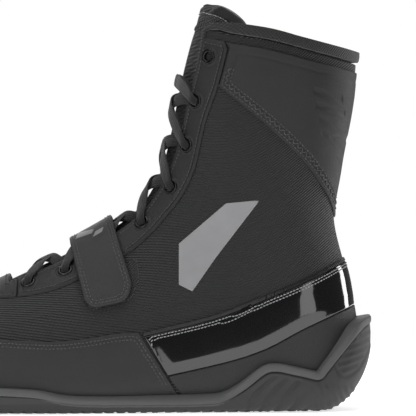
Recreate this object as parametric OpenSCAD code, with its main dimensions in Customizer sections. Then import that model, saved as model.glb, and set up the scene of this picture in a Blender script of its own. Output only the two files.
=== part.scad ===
// High lace-up boxing boot, left foot: a layered textile and leather shell on a thin rubber cup sole.
// Length runs along X with the toe at -X, the outer (lateral) side faces -Y and the sole rests on Z = 0.

/* [Layers] */
// Thickness of the woven upper
cloth_t = 1.4; // [1:0.1:1.5]
// Thickness of the leather overlays
overlay_t = 1.2; // [0.8:0.1:1.2]
// Thickness of the lining cloth
lining_t = 0.8; // [0.6:0.1:0.9]
// Thickness of the padding inside the collar
collar_pad = 4.3; // [3:0.1:4.5]
// Thickness of the padded tongue
tongue_t = 5; // [3:0.5:6]

/* [Sole] */
// Thickness of the rubber cup where it climbs the upper
cup_t = 3.2; // [2.6:0.1:3.4]
// Thickness of the foam footbed
footbed_t = 3.8; // [3:0.1:4]

/* [Lacing] */
// Outer radius of an eyelet
eyelet_r = 4.5; // [4:0.1:4.6]
// Radius of the hole through an eyelet
eyelet_hole_r = 2.6; // [2.5:0.05:2.7]
// Width of the flat lace
lace_w = 4.4; // [3.6:0.1:4.4]
// Thickness of the flat lace
lace_t = 1.3; // [1:0.1:1.3]

/* [Strap] */
// Thickness of the strap
strap_t = 1.6; // [1.2:0.1:1.8]
// Thickness of each fastening patch
patch_t = 0.8; // [0.6:0.1:0.8]

/* [Hidden] */

// The last: each station is a slice that fans from the toe (0) round the ankle to the collar (19).
// front x, front z, back x, back z, outer width, inner width, height of the widest line,
// squareness of the underside, pinch towards the instep
STATIONS = [
    [-141, 24, -141, 17.5, 4, 4.5, -0.1, 2.2, 0],
    [-138.5, 32, -138.5, 14, 13.5, 15, -0.2, 2.6, 0],
    [-132, 41, -132, 11, 24, 26.5, -0.3, 3.2, 0],
    [-120, 50.5, -120, 8.8, 33.5, 37, -0.38, 4, 0.02],
    [-104, 61, -105, 7, 41, 43.5, -0.45, 4.6, 0.06],
    [-85, 72, -86, 6.5, 46, 47.4, -0.5, 5, 0.12],
    [-64, 82, -64, 6.5, 48.8, 48, -0.52, 5, 0.2],
    [-43, 91.5, -38, 6.6, 48.8, 45.2, -0.52, 5, 0.26],
    [-22, 101.8, -8, 6.6, 46.2, 40.5, -0.5, 5, 0.28],
    [-4, 112.5, 25, 6.8, 42, 37, -0.42, 4.8, 0.26],
    [9, 123.5, 60, 6.8, 39, 35.5, -0.32, 4.6, 0.22],
    [17.5, 136.5, 95, 6.8, 37.5, 35.5, -0.22, 4.2, 0.16],
    [22.5, 149.5, 125, 11, 36.5, 35, -0.15, 3.2, 0.12],
    [26, 163, 139.6, 36, 35.8, 34.5, -0.1, 2.5, 0.1],
    [29, 178, 136, 74, 35.2, 34.2, -0.05, 2.15, 0.08],
    [32, 193, 126.8, 114, 34.8, 34, 0, 2, 0.06],
    [35.2, 207, 130, 146, 35.5, 35, 0.02, 2, 0.04],
    [38.6, 220, 136, 178, 37, 36.5, 0.03, 2, 0.02],
    [41.5, 229.5, 139.9, 206, 38.5, 38, 0.03, 2, 0],
    [45, 244, 142, 228, 39.5, 39, 0.03, 2, 0]];
last_station = len(STATIONS) - 1;
ring_points = 22;
// Stations where a ring of points is drawn: closer at the toe and round the heel
RINGS = concat([for (t = [0 : 0.5 : 1.5]) t], [for (t = [2 : 1 : 9]) t], [for (t = [10 : 0.5 : 15]) t],
    [16, 17, 18, 18.5, 19]);
gap = 0.05;
lining_depth = 2.7;
reach = 130;

// Smooth curve through rows of numbers: value at t, counted in rows
function row(rows, i) = rows[max(0, min(len(rows) - 1, i))];
function curve_at(rows, t) =
    let (i = min(floor(t), len(rows) - 2), f = t - i,
        a = row(rows, i - 1), b = row(rows, i), c = row(rows, i + 1), d = row(rows, i + 2))
    0.5 * (2 * b + (c - a) * f + (2 * a - 5 * b + 4 * c - d) * f * f + (3 * b - a - 3 * c + d) * f * f * f);
function smooth(points, n = 3) = [for (i = [0 : n * (len(points) - 1)]) curve_at(points, i / n)];
function clamp01(v) = max(0, min(1, v));
function ease(from, to, v) = let (f = clamp01((v - from) / (to - from))) f * f * (3 - 2 * f);
function unit(v) = v / norm(v);

// Point on the outside of the upper. Angle 0 is under the foot, 90 the outer side, 180 the front.
function last_point(t, angle) =
    let (s = curve_at(STATIONS, t), c = -cos(angle), sn = sin(angle), side = abs(sn), e = 2 / s[7],
        along = c < 0 ? s[6] - (1 + s[6]) * pow(-c, e) : s[6] + (1 - s[6]) * c,
        across = c < 0 ? pow(side, e) : side * (1 - s[8] * c * c))
    [(s[0] + s[2]) / 2 + along * (s[0] - s[2]) / 2,
        across * (sn < 0 ? s[5] : -s[4]),
        (s[1] + s[3]) / 2 + along * (s[1] - s[3]) / 2];
function last_normal(t, angle) =
    let (dt = 0.02, da = 2,
        along = last_point(min(last_station, t + dt), angle) - last_point(max(0, t - dt), angle),
        round = last_point(t, angle + da) - last_point(t, angle - da),
        n = unit(cross(along, round)))
    unit(n + [-0.8 * (1 - ease(0, 1, t)), 0, 0]);
function on_last(t, angle, height) = last_point(t, angle) + height * last_normal(t, angle);

// 0 at the front, 180 under the heel, whichever side
function from_front(angle) = abs(((angle % 360) + 360) % 360 - 180);
function lining_at(t, angle) = lining_depth + collar_pad * ease(13, 15.5, t) * ease(72, 96, from_front(angle));
function tongue_at(angle) = 6.4 - 3.6 * (1 - ease(2, 20, from_front(angle)));
function strap_at(angle) = 2.1 + 1.8 * (1 - ease(32, 60, from_front(angle)));
function cup_at(angle) = 1.4 + cup_t + 4.4 * ease(126, 148, from_front(angle));

// Closed solid: the last grown by a height that may vary with station and angle
module grown(height, first = 0, last = last_station) {
    rings = [for (t = RINGS) if (t >= first && t <= last) t];
    n = ring_points;
    points = [for (t = rings) for (k = [0 : n - 1])
        let (a = 360 * k / n) on_last(t, a, height(t, a))];
    sides = [for (r = [0 : len(rings) - 2]) for (k = [0 : n - 1]) let (m = (k + 1) % n)
        each [[r * n + k, (r + 1) * n + m, (r + 1) * n + k], [r * n + k, r * n + m, (r + 1) * n + m]]];
    ends = [[for (k = [n - 1 : -1 : 0]) k], [for (k = [0 : n - 1]) (len(rings) - 1) * n + k]];
    polyhedron(points, concat(sides, ends), convexity = 10);
}
// Layer of the shell between two depths
module layer(inner, outer, first = 0, last = last_station) {
    difference() {
        grown(outer, first, last);
        grown(inner, first, last);
    }
}
// Joins its children into one surface and leaves their size alone
module as_mesh() { resize([0, 0, 0]) children(); }
// Everything inside an outline drawn in side view
module side_view(outline) { rotate([90, 0, 0]) linear_extrude(2 * reach, center = true) polygon(outline); }
module lateral_half(g = 0) {
    translate([-2 * reach, -2 * reach - g / 2, -10]) cube([4 * reach, 2 * reach, 3 * reach]);
}
module medial_half(g = 0) { mirror([0, 1, 0]) lateral_half(g); }

// Side-view lines of the boot, as x and z
COLLAR_TOP = [[38, 226], [50, 228.4], [66, 225], [87, 221.4], [112, 215], [139, 208], [152, 204]];
SOLE_LINE = [[-150, 20], [-141, 18], [-132, 12.5], [-120, 9.8], [-104, 8], [-86, 7.2], [-38, 7.3], [25, 7.4],
    [60, 7.4], [95, 7.4], [116, 9], [128, 15], [150, 26]];
EYESTAY_REAR = [[-96, 76], [-88, 69], [-73.5, 67.2], [-48.3, 70.2], [-29.7, 76.2], [1.5, 92.4], [15.9, 103.8],
    [26.7, 115.8], [36.3, 128.4], [44.1, 145.2], [50.1, 171.6], [57.9, 194.4], [64.5, 221], [67, 232]];
COLLAR_PANEL_EDGE = [[50, 198], [59.1, 192], [85.5, 170.4], [106.5, 150], [117.3, 135.6], [123.9, 124.2],
    [127.5, 112], [129, 106]];
BAND_TOP = [[12.8, 47.8], [53.7, 57.6], [85.5, 69.6], [109.5, 79.8], [133.5, 91.8], [150, 100]];
BAND_BOTTOM = [[27.4, 22.4], [61.5, 30], [85.5, 37.8], [109.5, 50.4], [138.3, 63], [152, 68]];
BAND_FRONT = [[11.1, 47.4], [36.3, 7.2]];
RAND_TOP = [[-150, 37], [-138, 36.5], [-120, 40], [-98, 43], [-73.5, 43.8], [-41.7, 42.6], [-20.7, 44.4],
    [-2.1, 47.4], [11.1, 48]];
CUP_TOP = [[-152, 26], [-143, 25], [-132, 20.5], [-112, 17.4], [-90, 16.4], [-73.5, 15.6], [-49.5, 13.8],
    [-33.9, 9.8], [-17.7, 8.4], [20, 8.2], [48, 8.4], [58.5, 9.8], [69.9, 17], [83.1, 27.6], [92.1, 29.4],
    [101.7, 27.6], [116.7, 24]];
CUP_TOP_HEEL = [[116.7, 24], [126.9, 36.6], [141.9, 53.4], [152, 58]];
THROAT_HALF = [[50, 14], [80, 16], [96, 14], [112, 12.5], [133, 13], [160, 15.5], [184, 18.5],
    [210, 21], [240, 22]];
STRAP_FRONT = [[-34.5, 112], [-31.5, 101.4], [-21.9, 67.2]];
STRAP_REAR = [[6.3, 76.8], [-5.7, 113.4], [-8.5, 122]];
strap_corner_r = 7;

function raised(line, h) = [for (p = line) [p[0], p[1] + h]];
function reversed(v) = [for (i = [len(v) - 1 : -1 : 0]) v[i]];
// Closed outline between a lower and an upper line, both drawn from toe to heel
function between(lower, upper) = concat(lower, reversed(upper));

collar_top = smooth(COLLAR_TOP);
sole_line = smooth(SOLE_LINE);
eyestay_rear = smooth(EYESTAY_REAR);
band_top = smooth(BAND_TOP);
band_bottom = smooth(BAND_BOTTOM);
rand_top = smooth(RAND_TOP);
cup_top = concat(smooth(CUP_TOP), smooth(CUP_TOP_HEEL));
binding_h = 6;
lasting_margin = 2.4;
rand_margin = 2;
edge_gap = 0.3;

// Side-view zones
// Corners in front of the boot that close an outline round its front
FRONT_CORNERS = [[-20, 240], [-150, 120]];
rim_drop = 1.3;
collar_station = 18.5;
upper_zone = concat(raised(sole_line, lasting_margin), reversed(raised(collar_top, -rim_drop)), FRONT_CORNERS);
cup_zone = concat([[-150, 0], [150, 0]], reversed(cup_top));
// Where the vamp cloth and the throat cap meet the quarters and the eyestays
vamp_x = -80;
cap_x = -62;

module upper_cut() { side_view(upper_zone); }
// Opening over the instep, where the tongue shows
module throat_cut() {
    half = smooth(THROAT_HALF);
    intersection() {
        rotate([90, 0, 90]) linear_extrude(2 * reach, center = true)
            polygon(concat([for (p = half) [p[1], p[0]]], reversed([for (p = half) [-p[1], p[0]]])));
        side_view([[-67, 50], [-40, 66], [10, 84], [46, 120], [64, 160], [76, 245], [0, 245], [-67, 120]]);
    }
}

// Places of the eyelets, from the toe end up: station and angle
EYELETS = [[6.4, 147], [7.4, 145], [8.5, 148], [9.9, 150], [11.7, 148], [13.5, 144], [15.1, 138], [16.8, 134]];
module at_eyelets(side) {
    for (e = EYELETS) {
        a = side > 0 ? 360 - e[1] : e[1];
        n = last_normal(e[0], a);
        translate(last_point(e[0], a)) rotate([0, acos(n[2]), atan2(n[1], n[0])]) children();
    }
}
barrel_t = 0.45;
module eyelet_holes(side) {
    at_eyelets(side) translate([0, 0, -8]) cylinder(r = eyelet_hole_r + barrel_t + 0.25, h = 12, $fn = 12);
}
module eyelet() {
    top = overlay_t + 2 * gap + 0.05;
    bottom = -lining_depth - lining_t - 2 * gap;
    flange_t = 0.7;
    rotate_extrude($fn = 36) polygon([
        [eyelet_hole_r, bottom - flange_t], [eyelet_r - 1, bottom - flange_t], [eyelet_r - 1, bottom],
        [eyelet_hole_r + barrel_t, bottom], [eyelet_hole_r + barrel_t, top], [eyelet_r, top],
        [eyelet_r, top + 0.35], [eyelet_r - 0.5, top + flange_t], [eyelet_hole_r + 0.3, top + flange_t],
        [eyelet_hole_r, top + 0.4]]);
}

// ---- Sole ----
module outsole() {
    color("#333335") as_mesh() difference() {
        intersection() {
            grown(function (t, a) cup_at(a));
            side_view(cup_zone);
        }
        grown(function (t, a) 1.35);
    }
}
module sole_slice(inner, outer, top) {
    intersection() {
        layer(inner, outer);
        side_view(concat([[-150, -5], [150, -5]], reversed(raised(sole_line, top))));
    }
}
module midsole() {
    color("#26262a") as_mesh() sole_slice(function (t, a) -0.95, function (t, a) 1.3, lasting_margin - 0.8);
}
module insole_board() {
    color("#b59a6a") as_mesh() sole_slice(function (t, a) -2.6, function (t, a) -1, lasting_margin - 0.4);
}
module sockliner() {
    color("#222226") as_mesh() intersection() {
        grown(function (t, a) -lining_depth - lining_t - 0.3, 1, 12);
        side_view(concat([[-150, -5], [118, -5], [118, 18]],
            reversed(raised([for (p = SOLE_LINE) if (p[0] < 110) p], lasting_margin + footbed_t - 0.3))));
    }
}

// ---- Stiffeners ----
module heel_counter() {
    color("#cfc8b4") as_mesh() intersection() {
        layer(function (t, a) -lining_depth + gap, function (t, a) -cloth_t - gap);
        side_view(between(raised([[62, 8], [95, 7.4], [128, 15], [150, 26]], lasting_margin + 0.4),
            [[56, 12], [74, 50], [100, 72], [150, 78]]));
    }
}
module toe_puff() {
    color("#cfc8b4") as_mesh() intersection() {
        layer(function (t, a) -lining_depth + gap, function (t, a) -cloth_t - gap);
        side_view([[-150, 23], [-141, 21], [-132, 15.5], [-120, 12.8], [-104, 11], [-112, 30],
            [-117, 60], [-150, 60]]);
    }
}

// ---- Upper ----
module cloth_shell() { layer(function (t, a) -cloth_t, function (t, a) 0, 0, collar_station); }
module quarter(side) {
    color("#161617") as_mesh() difference() {
        intersection() {
            cloth_shell();
            upper_cut();
            translate([vamp_x + edge_gap, -reach, -10]) cube([2 * reach, 2 * reach, 3 * reach]);
            if (side > 0) medial_half(0.1); else lateral_half(0.1);
        }
        throat_cut();
        eyelet_holes(side);
    }
}
module quarter_lateral() { quarter(-1); }
module quarter_medial() { quarter(1); }
module vamp() {
    color("#161617") as_mesh() intersection() {
        cloth_shell();
        upper_cut();
        translate([vamp_x - 2 * reach, -reach, -10]) cube([2 * reach, 2 * reach, 3 * reach]);
    }
}
module lining_shell() {
    layer(function (t, a) -lining_at(t, a) - lining_t, function (t, a) -lining_at(t, a), 0, collar_station);
}
module lining_zone() {
    side_view(concat(raised(sole_line, lasting_margin + footbed_t), reversed(raised(collar_top, -rim_drop)),
        FRONT_CORNERS));
}
module lining(side) {
    color("#1d1d20") as_mesh() difference() {
        intersection() {
            lining_shell();
            lining_zone();
            translate([vamp_x + edge_gap, -reach, -10]) cube([2 * reach, 2 * reach, 3 * reach]);
            if (side > 0) medial_half(0.1); else lateral_half(0.1);
        }
        throat_cut();
        eyelet_holes(side);
    }
}
module lining_lateral() { lining(-1); }
module lining_medial() { lining(1); }
module lining_vamp() {
    color("#1d1d20") as_mesh() intersection() {
        lining_shell();
        lining_zone();
        translate([vamp_x - 2 * reach, -reach, -10]) cube([2 * reach, 2 * reach, 3 * reach]);
    }
}
module collar_foam() {
    color("#8a8a80") as_mesh() intersection() {
        layer(function (t, a) -lining_at(t, a) + gap, function (t, a) -cloth_t - gap, 12, collar_station);
        side_view([[112, 122], [150, 110], [150, 203.5], [139, 206.4], [112, 213.5], [93, 218.2],
            [90, 190], [96, 150]]);
    }
}

// ---- Overlays ----
module overlay_shell() { layer(function (t, a) gap, function (t, a) gap + overlay_t, 0, collar_station); }
facing_top = raised([for (p = collar_top) if (p[0] < 64) p], -binding_h - edge_gap);
eyestay_zone = concat([for (p = eyestay_rear) if (p[1] < 217) p], reversed(facing_top),
    [[-20, 240], [-110, 120]]);
module eyestay(side) {
    color("#202022") as_mesh() difference() {
        intersection() {
            overlay_shell();
            side_view(eyestay_zone);
            translate([cap_x + edge_gap, -reach, 0]) cube([2 * reach, 2 * reach, 3 * reach]);
            if (side > 0) medial_half(0.1); else lateral_half(0.1);
        }
        throat_cut();
        eyelet_holes(side);
    }
}
module eyestay_lateral() { eyestay(-1); }
module eyestay_medial() { eyestay(1); }
module throat_cap() {
    color("#202022") as_mesh() difference() {
        intersection() {
            overlay_shell();
            side_view(eyestay_zone);
            translate([cap_x - 2 * reach, -reach, 0]) cube([2 * reach, 2 * reach, 3 * reach]);
        }
        throat_cut();
    }
}
module collar_panel() {
    edge = smooth(COLLAR_PANEL_EDGE);
    color("#202022") as_mesh() difference() {
        intersection() {
            overlay_shell();
            side_view(concat(edge, [[150, 106]], reversed(raised(collar_top, -binding_h - edge_gap))));
        }
        side_view(concat([[-40, 260], [-40, 60]], [for (p = eyestay_rear) p + [edge_gap, 0]], [[67.5, 260]]));
    }
}
module collar_binding() {
    wrap = 1.1;
    outside = gap + overlay_t + 0.05;
    color("#2a2a2c") as_mesh() difference() {
        intersection() {
            layer(function (t, a) -lining_at(t, a) - lining_t - gap - wrap, function (t, a) outside);
            side_view(between(raised(collar_top, -binding_h), collar_top));
        }
        intersection() {
            layer(function (t, a) -lining_at(t, a) - lining_t - gap, function (t, a) gap);
            side_view(between(raised(collar_top, -3 * binding_h), raised(collar_top, -wrap)));
        }
        throat_cut();
    }
}
trim_h = 2.4;
module heel_zone(outline) {
    intersection() {
        overlay_shell();
        side_view(outline);
        translate([0, -reach, 0]) cube([2 * reach, 2 * reach, reach]);
    }
}
module heel_band() {
    color("#060606") as_mesh() heel_zone(concat([band_top[0] + [0.8, -trim_h - 0.2]], band_bottom,
        reversed(raised(band_top, -trim_h - 0.1))));
}
module heel_band_trim() { color("#1b1b1c") as_mesh() heel_zone(between(raised(band_top, -trim_h), band_top)); }
module heel_rand() {
    color("#242426") as_mesh() heel_zone(concat([BAND_FRONT[1] + [edge_gap + 0.3, 2.2]],
        raised([for (p = sole_line) if (p[0] > 38) p], rand_margin), reversed(raised(band_bottom, -edge_gap))));
}
module toe_rand() {
    color("#242426") as_mesh() intersection() {
        overlay_shell();
        side_view(concat(raised([for (p = sole_line) if (p[0] < 33) p], rand_margin),
            [BAND_FRONT[1] + [-1.6, 2.2], BAND_FRONT[0] - [edge_gap, 0]], reversed(rand_top)));
    }
}

// ---- Tongue ----
TONGUE_REAR = [[-74, 60], [-60, 64], [-20, 76], [10, 92], [30, 108], [44, 128], [52, 150], [59, 170], [69, 200],
    [77, 224]];
TONGUE_TOP = [[77, 224], [72, 232.5], [63, 239.5], [54, 242.5], [47, 240], [40, 232], [34, 222]];
tongue_hinge = [44, 227.5];
tongue_split = [[20, tongue_hinge[1] + 0.2], [100, tongue_hinge[1] + 2]];
module tongue_shell() {
    intersection() {
        layer(function (t, a) -tongue_at(a) - tongue_t, function (t, a) -tongue_at(a), 3);
        side_view(concat(smooth(TONGUE_REAR), smooth(TONGUE_TOP), [[-20, 200], [-74, 110]]));
    }
}
module tongue_lower() {
    color("#1e1e20") as_mesh() intersection() {
        tongue_shell();
        side_view(concat(raised(tongue_split, -0.5), [[100, 0], [-100, 0], [-100, 200]]));
    }
}
module tongue_top() {
    color("#262628") as_mesh() intersection() {
        tongue_shell();
        side_view(concat(tongue_split, [[100, 260], [20, 260]]));
    }
}

// ---- Strap ----
hinge_mid = [-14, 91];
hinge_slope = 14;
// Outline of the strap's fastening end, with its two lower corners rounded
module strap_outline() {
    offset(r = strap_corner_r) offset(delta = -strap_corner_r)
        polygon(concat(STRAP_FRONT, [[-18.6, 61.6], [4.6, 66.4]], STRAP_REAR));
}
module strap_side_view() { rotate([90, 0, 0]) linear_extrude(2 * reach, center = true) strap_outline(); }
// Half-space above or below the line on the inner side that the strap folds about
module above_hinge(shift) {
    translate([hinge_mid[0], 0, hinge_mid[1]]) rotate([0, -hinge_slope, 0]) translate([-60, 0, shift])
        cube([120, 100, 100]);
}
module strap_zone() {
    intersection() {
        strap_side_view();
        union() {
            lateral_half(-0.02);
            above_hinge(0.3);
        }
    }
}
module strap() {
    color("#2a2a2b") as_mesh() intersection() {
        layer(function (t, a) strap_at(a), function (t, a) strap_at(a) + strap_t, 5, 11);
        strap_zone();
    }
}
module strap_hook_patch() {
    color("#1a1a1a") as_mesh() intersection() {
        layer(function (t, a) strap_at(a) - gap - patch_t, function (t, a) strap_at(a) - gap, 5, 11);
        rotate([90, 0, 0]) linear_extrude(reach) offset(delta = -2.5) intersection() {
            strap_outline();
            polygon([[-40, 50], [20, 50], [20, 84], [-40, 68]]);
        }
    }
}
module strap_loop_patch() {
    color("#1a1a1a") as_mesh() intersection() {
        layer(function (t, a) gap, function (t, a) gap + patch_t, 5, 11);
        rotate([90, 0, 0]) linear_extrude(reach) offset(r = 3) offset(delta = -3)
            polygon([[-23, 73], [-19, 62], [5, 67], [11, 79], [9, 92], [1.5, 86.5]]);
    }
}
module strap_base() {
    color("#2a2a2b") as_mesh() intersection() {
        layer(function (t, a) gap + overlay_t + gap, function (t, a) strap_at(a) + strap_t, 5, 11);
        strap_side_view();
        mirror([0, 1, 0]) rotate([90, 0, 0]) linear_extrude(reach)
            polygon([[-40, 72], [10, 78], [10, 110], [-40, 110]]);
        difference() {
            medial_half();
            above_hinge(-0.3);
        }
    }
}

// ---- Lacing ----
module eyelets_lateral() { color("#0c0c0c") at_eyelets(-1) eyelet(); }
module eyelets_medial() { color("#0c0c0c") at_eyelets(1) eyelet(); }
laced = 7;
under_h = -4.7;
over_h = 2.3;
out_h = 2.9;
cross_low_h = 0.7;
cross_high_h = 2.3;
function angle_on(side, a) = side > 0 ? 360 - a : a;
// Route from under eyelet k on one side, out, across the instep and under the other side,
// as station, angle and height
function lace_pass(k, side, height) =
    let (a = EYELETS[k], b = EYELETS[k + 1], d = b[0] - a[0])
    [[a[0], angle_on(side, a[1]), under_h], [a[0], angle_on(side, a[1]), out_h],
        [a[0] + 0.2 * d, angle_on(side, a[1] + 12), over_h], [a[0] + 0.55 * d, 180, height],
        [b[0] - 0.1 * d, angle_on(-side, b[1] + 11), under_h]];
function half_lace(start) = [for (k = [0 : laced - 2]) let (s = k % 2 == 0 ? start : -start)
    each lace_pass(k, s, start < 0 ? cross_low_h : cross_high_h)];
// The end of each half: out of the last laced eyelet, over the edge, back under it and down beside the tongue
function lace_end(side, height) =
    let (e = EYELETS[laced - 1])
    [[e[0], angle_on(side, e[1]), under_h], [e[0], angle_on(side, e[1]), out_h],
        [e[0] + 0.15, angle_on(side, e[1] + 13), over_h], [e[0] + 0.2, 180, height],
        [e[0], angle_on(-side, e[1] + 9), under_h], [e[0] - 1, angle_on(-side, e[1] - 8), under_h],
        [e[0] - 2.2, angle_on(-side, e[1] - 2), under_h - 0.1]];
function lace_half(start) = concat(half_lace(start), lace_end(laced % 2 == 1 ? start : -start,
    start < 0 ? cross_low_h : cross_high_h));
lace_route = concat(reversed(lace_half(-1)), [[EYELETS[0][0] + 0.05, 180, under_h + 1.2]], lace_half(1));
function lace_place(p) = on_last(p[0], p[1], p[2]);
lace_points = [for (p = lace_route) lace_place(p)];
// Across the lace's width: up along the boot
function lace_width_dir(p) = unit(last_point(p[0] + 0.1, p[1]) - last_point(p[0] - 0.1, p[1]));
module lace() {
    n = len(lace_points);
    sides = 8;
    rings = [for (i = [0 : n - 1])
        let (along = unit(lace_points[min(n - 1, i + 1)] - lace_points[max(0, i - 1)]),
            w = lace_width_dir(lace_route[i]),
            up = unit(cross(along, w)), flat = cross(up, along))
        for (k = [0 : sides - 1])
            let (a = 360 * (k + 0.5) / sides)
            lace_points[i] + flat * cos(a) * lace_w / 2 + up * sin(a) * lace_t / 2];
    faces = [for (i = [0 : n - 2]) for (k = [0 : sides - 1]) let (m = (k + 1) % sides)
        each [[i * sides + k, (i + 1) * sides + m, i * sides + m],
            [i * sides + k, (i + 1) * sides + k, (i + 1) * sides + m]]];
    ends = [[for (k = [0 : sides - 1]) k], [for (k = [sides - 1 : -1 : 0]) (n - 1) * sides + k]];
    color("#0e0e0e") polyhedron(rings, concat(faces, ends), convexity = 10);
}
module aglet(end, before) {
    d = unit(end - before);
    translate(end + d * 0.05) rotate([0, acos(d[2]), atan2(d[1], d[0])]) cylinder(r = 1.1, h = 22, $fn = 24);
}
module aglets() {
    n = len(lace_points);
    color("#0a0a0a") {
        aglet(lace_points[0], lace_points[1]);
        aglet(lace_points[n - 1], lace_points[n - 2]);
    }
}

// ---- Reflective side patches ----
module side_patch(side) {
    color("#8c8c8c") as_mesh() intersection() {
        layer(function (t, a) gap, function (t, a) gap + 0.3, 8, 16);
        side_view([[34, 100], [62, 124], [82, 126], [56, 92], [42, 72], [34, 76]]);
        if (side > 0) medial_half(1); else lateral_half(1);
    }
}
module side_patch_lateral() { side_patch(-1); }
module side_patch_medial() { side_patch(1); }

outsole();
midsole();
insole_board();
sockliner();
heel_counter();
toe_puff();
quarter_lateral();
quarter_medial();
vamp();
lining_lateral();
lining_medial();
lining_vamp();
collar_foam();
eyestay_lateral();
eyestay_medial();
throat_cap();
collar_panel();
collar_binding();
heel_band();
heel_band_trim();
heel_rand();
toe_rand();
tongue_lower();
tongue_top();
strap();
strap_hook_patch();
strap_loop_patch();
strap_base();
eyelets_lateral();
eyelets_medial();
lace();
aglets();
side_patch_lateral();
side_patch_medial();
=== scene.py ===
"""High lace-up boxing boot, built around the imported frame. The maker's helpers work in millimetres."""

import math

import bpy
import numpy as np
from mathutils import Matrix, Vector


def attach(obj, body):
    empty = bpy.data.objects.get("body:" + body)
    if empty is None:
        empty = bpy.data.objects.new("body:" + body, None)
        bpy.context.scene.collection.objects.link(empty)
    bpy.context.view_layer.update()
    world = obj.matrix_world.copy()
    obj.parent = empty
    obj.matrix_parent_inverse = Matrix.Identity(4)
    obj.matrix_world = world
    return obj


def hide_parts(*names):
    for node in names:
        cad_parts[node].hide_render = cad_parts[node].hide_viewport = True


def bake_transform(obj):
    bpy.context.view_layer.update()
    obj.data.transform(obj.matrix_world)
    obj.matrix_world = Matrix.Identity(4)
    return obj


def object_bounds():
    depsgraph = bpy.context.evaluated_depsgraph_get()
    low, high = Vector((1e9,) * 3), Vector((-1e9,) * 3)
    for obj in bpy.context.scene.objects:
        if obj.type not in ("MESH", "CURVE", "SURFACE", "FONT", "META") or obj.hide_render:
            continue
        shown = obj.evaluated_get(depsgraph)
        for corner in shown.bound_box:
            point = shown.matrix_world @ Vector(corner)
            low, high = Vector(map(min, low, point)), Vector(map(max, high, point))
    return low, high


bl_info = {
    "name": "Boxing boot",
    "version": (1, 0, 0),
    "blender": (4, 5, 0),
    "location": "View3D > Sidebar > Boxing boot",
    "description": "Builds a lace-up boxing boot with its instep strap on the packed frame",
    "category": "Add Mesh",
}

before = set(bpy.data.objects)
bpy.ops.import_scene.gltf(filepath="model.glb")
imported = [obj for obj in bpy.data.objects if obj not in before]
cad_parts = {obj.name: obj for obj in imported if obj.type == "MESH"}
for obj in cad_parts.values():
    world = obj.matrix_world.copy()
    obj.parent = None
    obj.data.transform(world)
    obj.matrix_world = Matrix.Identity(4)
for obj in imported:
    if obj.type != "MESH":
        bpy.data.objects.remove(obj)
CAD_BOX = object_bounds()
MM = 0.001

# ---- The last: the stations of the CAD source, as slices that fan from the toe to the collar ----
# front x, front z, back x, back z, outer width, inner width, height of the widest line,
# squareness of the underside, pinch towards the instep
STATIONS = np.array([
    [-141, 24, -141, 17.5, 4, 4.5, -0.1, 2.2, 0],
    [-138.5, 32, -138.5, 14, 13.5, 15, -0.2, 2.6, 0],
    [-132, 41, -132, 11, 24, 26.5, -0.3, 3.2, 0],
    [-120, 50.5, -120, 8.8, 33.5, 37, -0.38, 4, 0.02],
    [-104, 61, -105, 7, 41, 43.5, -0.45, 4.6, 0.06],
    [-85, 72, -86, 6.5, 46, 47.4, -0.5, 5, 0.12],
    [-64, 82, -64, 6.5, 48.8, 48, -0.52, 5, 0.2],
    [-43, 91.5, -38, 6.6, 48.8, 45.2, -0.52, 5, 0.26],
    [-22, 101.8, -8, 6.6, 46.2, 40.5, -0.5, 5, 0.28],
    [-4, 112.5, 25, 6.8, 42, 37, -0.42, 4.8, 0.26],
    [9, 123.5, 60, 6.8, 39, 35.5, -0.32, 4.6, 0.22],
    [17.5, 136.5, 95, 6.8, 37.5, 35.5, -0.22, 4.2, 0.16],
    [22.5, 149.5, 125, 11, 36.5, 35, -0.15, 3.2, 0.12],
    [26, 163, 139.6, 36, 35.8, 34.5, -0.1, 2.5, 0.1],
    [29, 178, 136, 74, 35.2, 34.2, -0.05, 2.15, 0.08],
    [32, 193, 126.8, 114, 34.8, 34, 0, 2, 0.06],
    [35.2, 207, 130, 146, 35.5, 35, 0.02, 2, 0.04],
    [38.6, 220, 136, 178, 37, 36.5, 0.03, 2, 0.02],
    [41.5, 229.5, 139.9, 206, 38.5, 38, 0.03, 2, 0],
    [45, 244, 142, 228, 39.5, 39, 0.03, 2, 0]])
CLOTH, OVERLAY, LINING, STRAP_T, GAP = 1.4, 1.2, 0.8, 1.6, 0.05


def curve(rows, t):
    """Smooth curve through rows of numbers: values at t, counted in rows."""
    rows = np.asarray(rows, float)
    t = np.clip(np.asarray(t, float), 0, len(rows) - 1)
    i = np.minimum(t.astype(int), len(rows) - 2)
    f = (t - i)[..., None]
    a, b, c, d = (rows[np.clip(i + k, 0, len(rows) - 1)] for k in (-1, 0, 1, 2))
    square, cube = 2 * a - 5 * b + 4 * c - d, 3 * b - a - 3 * c + d
    return 0.5 * (2 * b + (c - a) * f + square * f**2 + cube * f**3)


def smooth(points, n=4):
    return curve(points, np.arange(n * (len(points) - 1) + 1) / n)


def ease(start, end, v):
    f = np.clip((v - start) / (end - start), 0, 1)
    return f * f * (3 - 2 * f)


def unit(v):
    return v / np.maximum(np.linalg.norm(v, axis=-1, keepdims=True), 1e-9)


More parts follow.
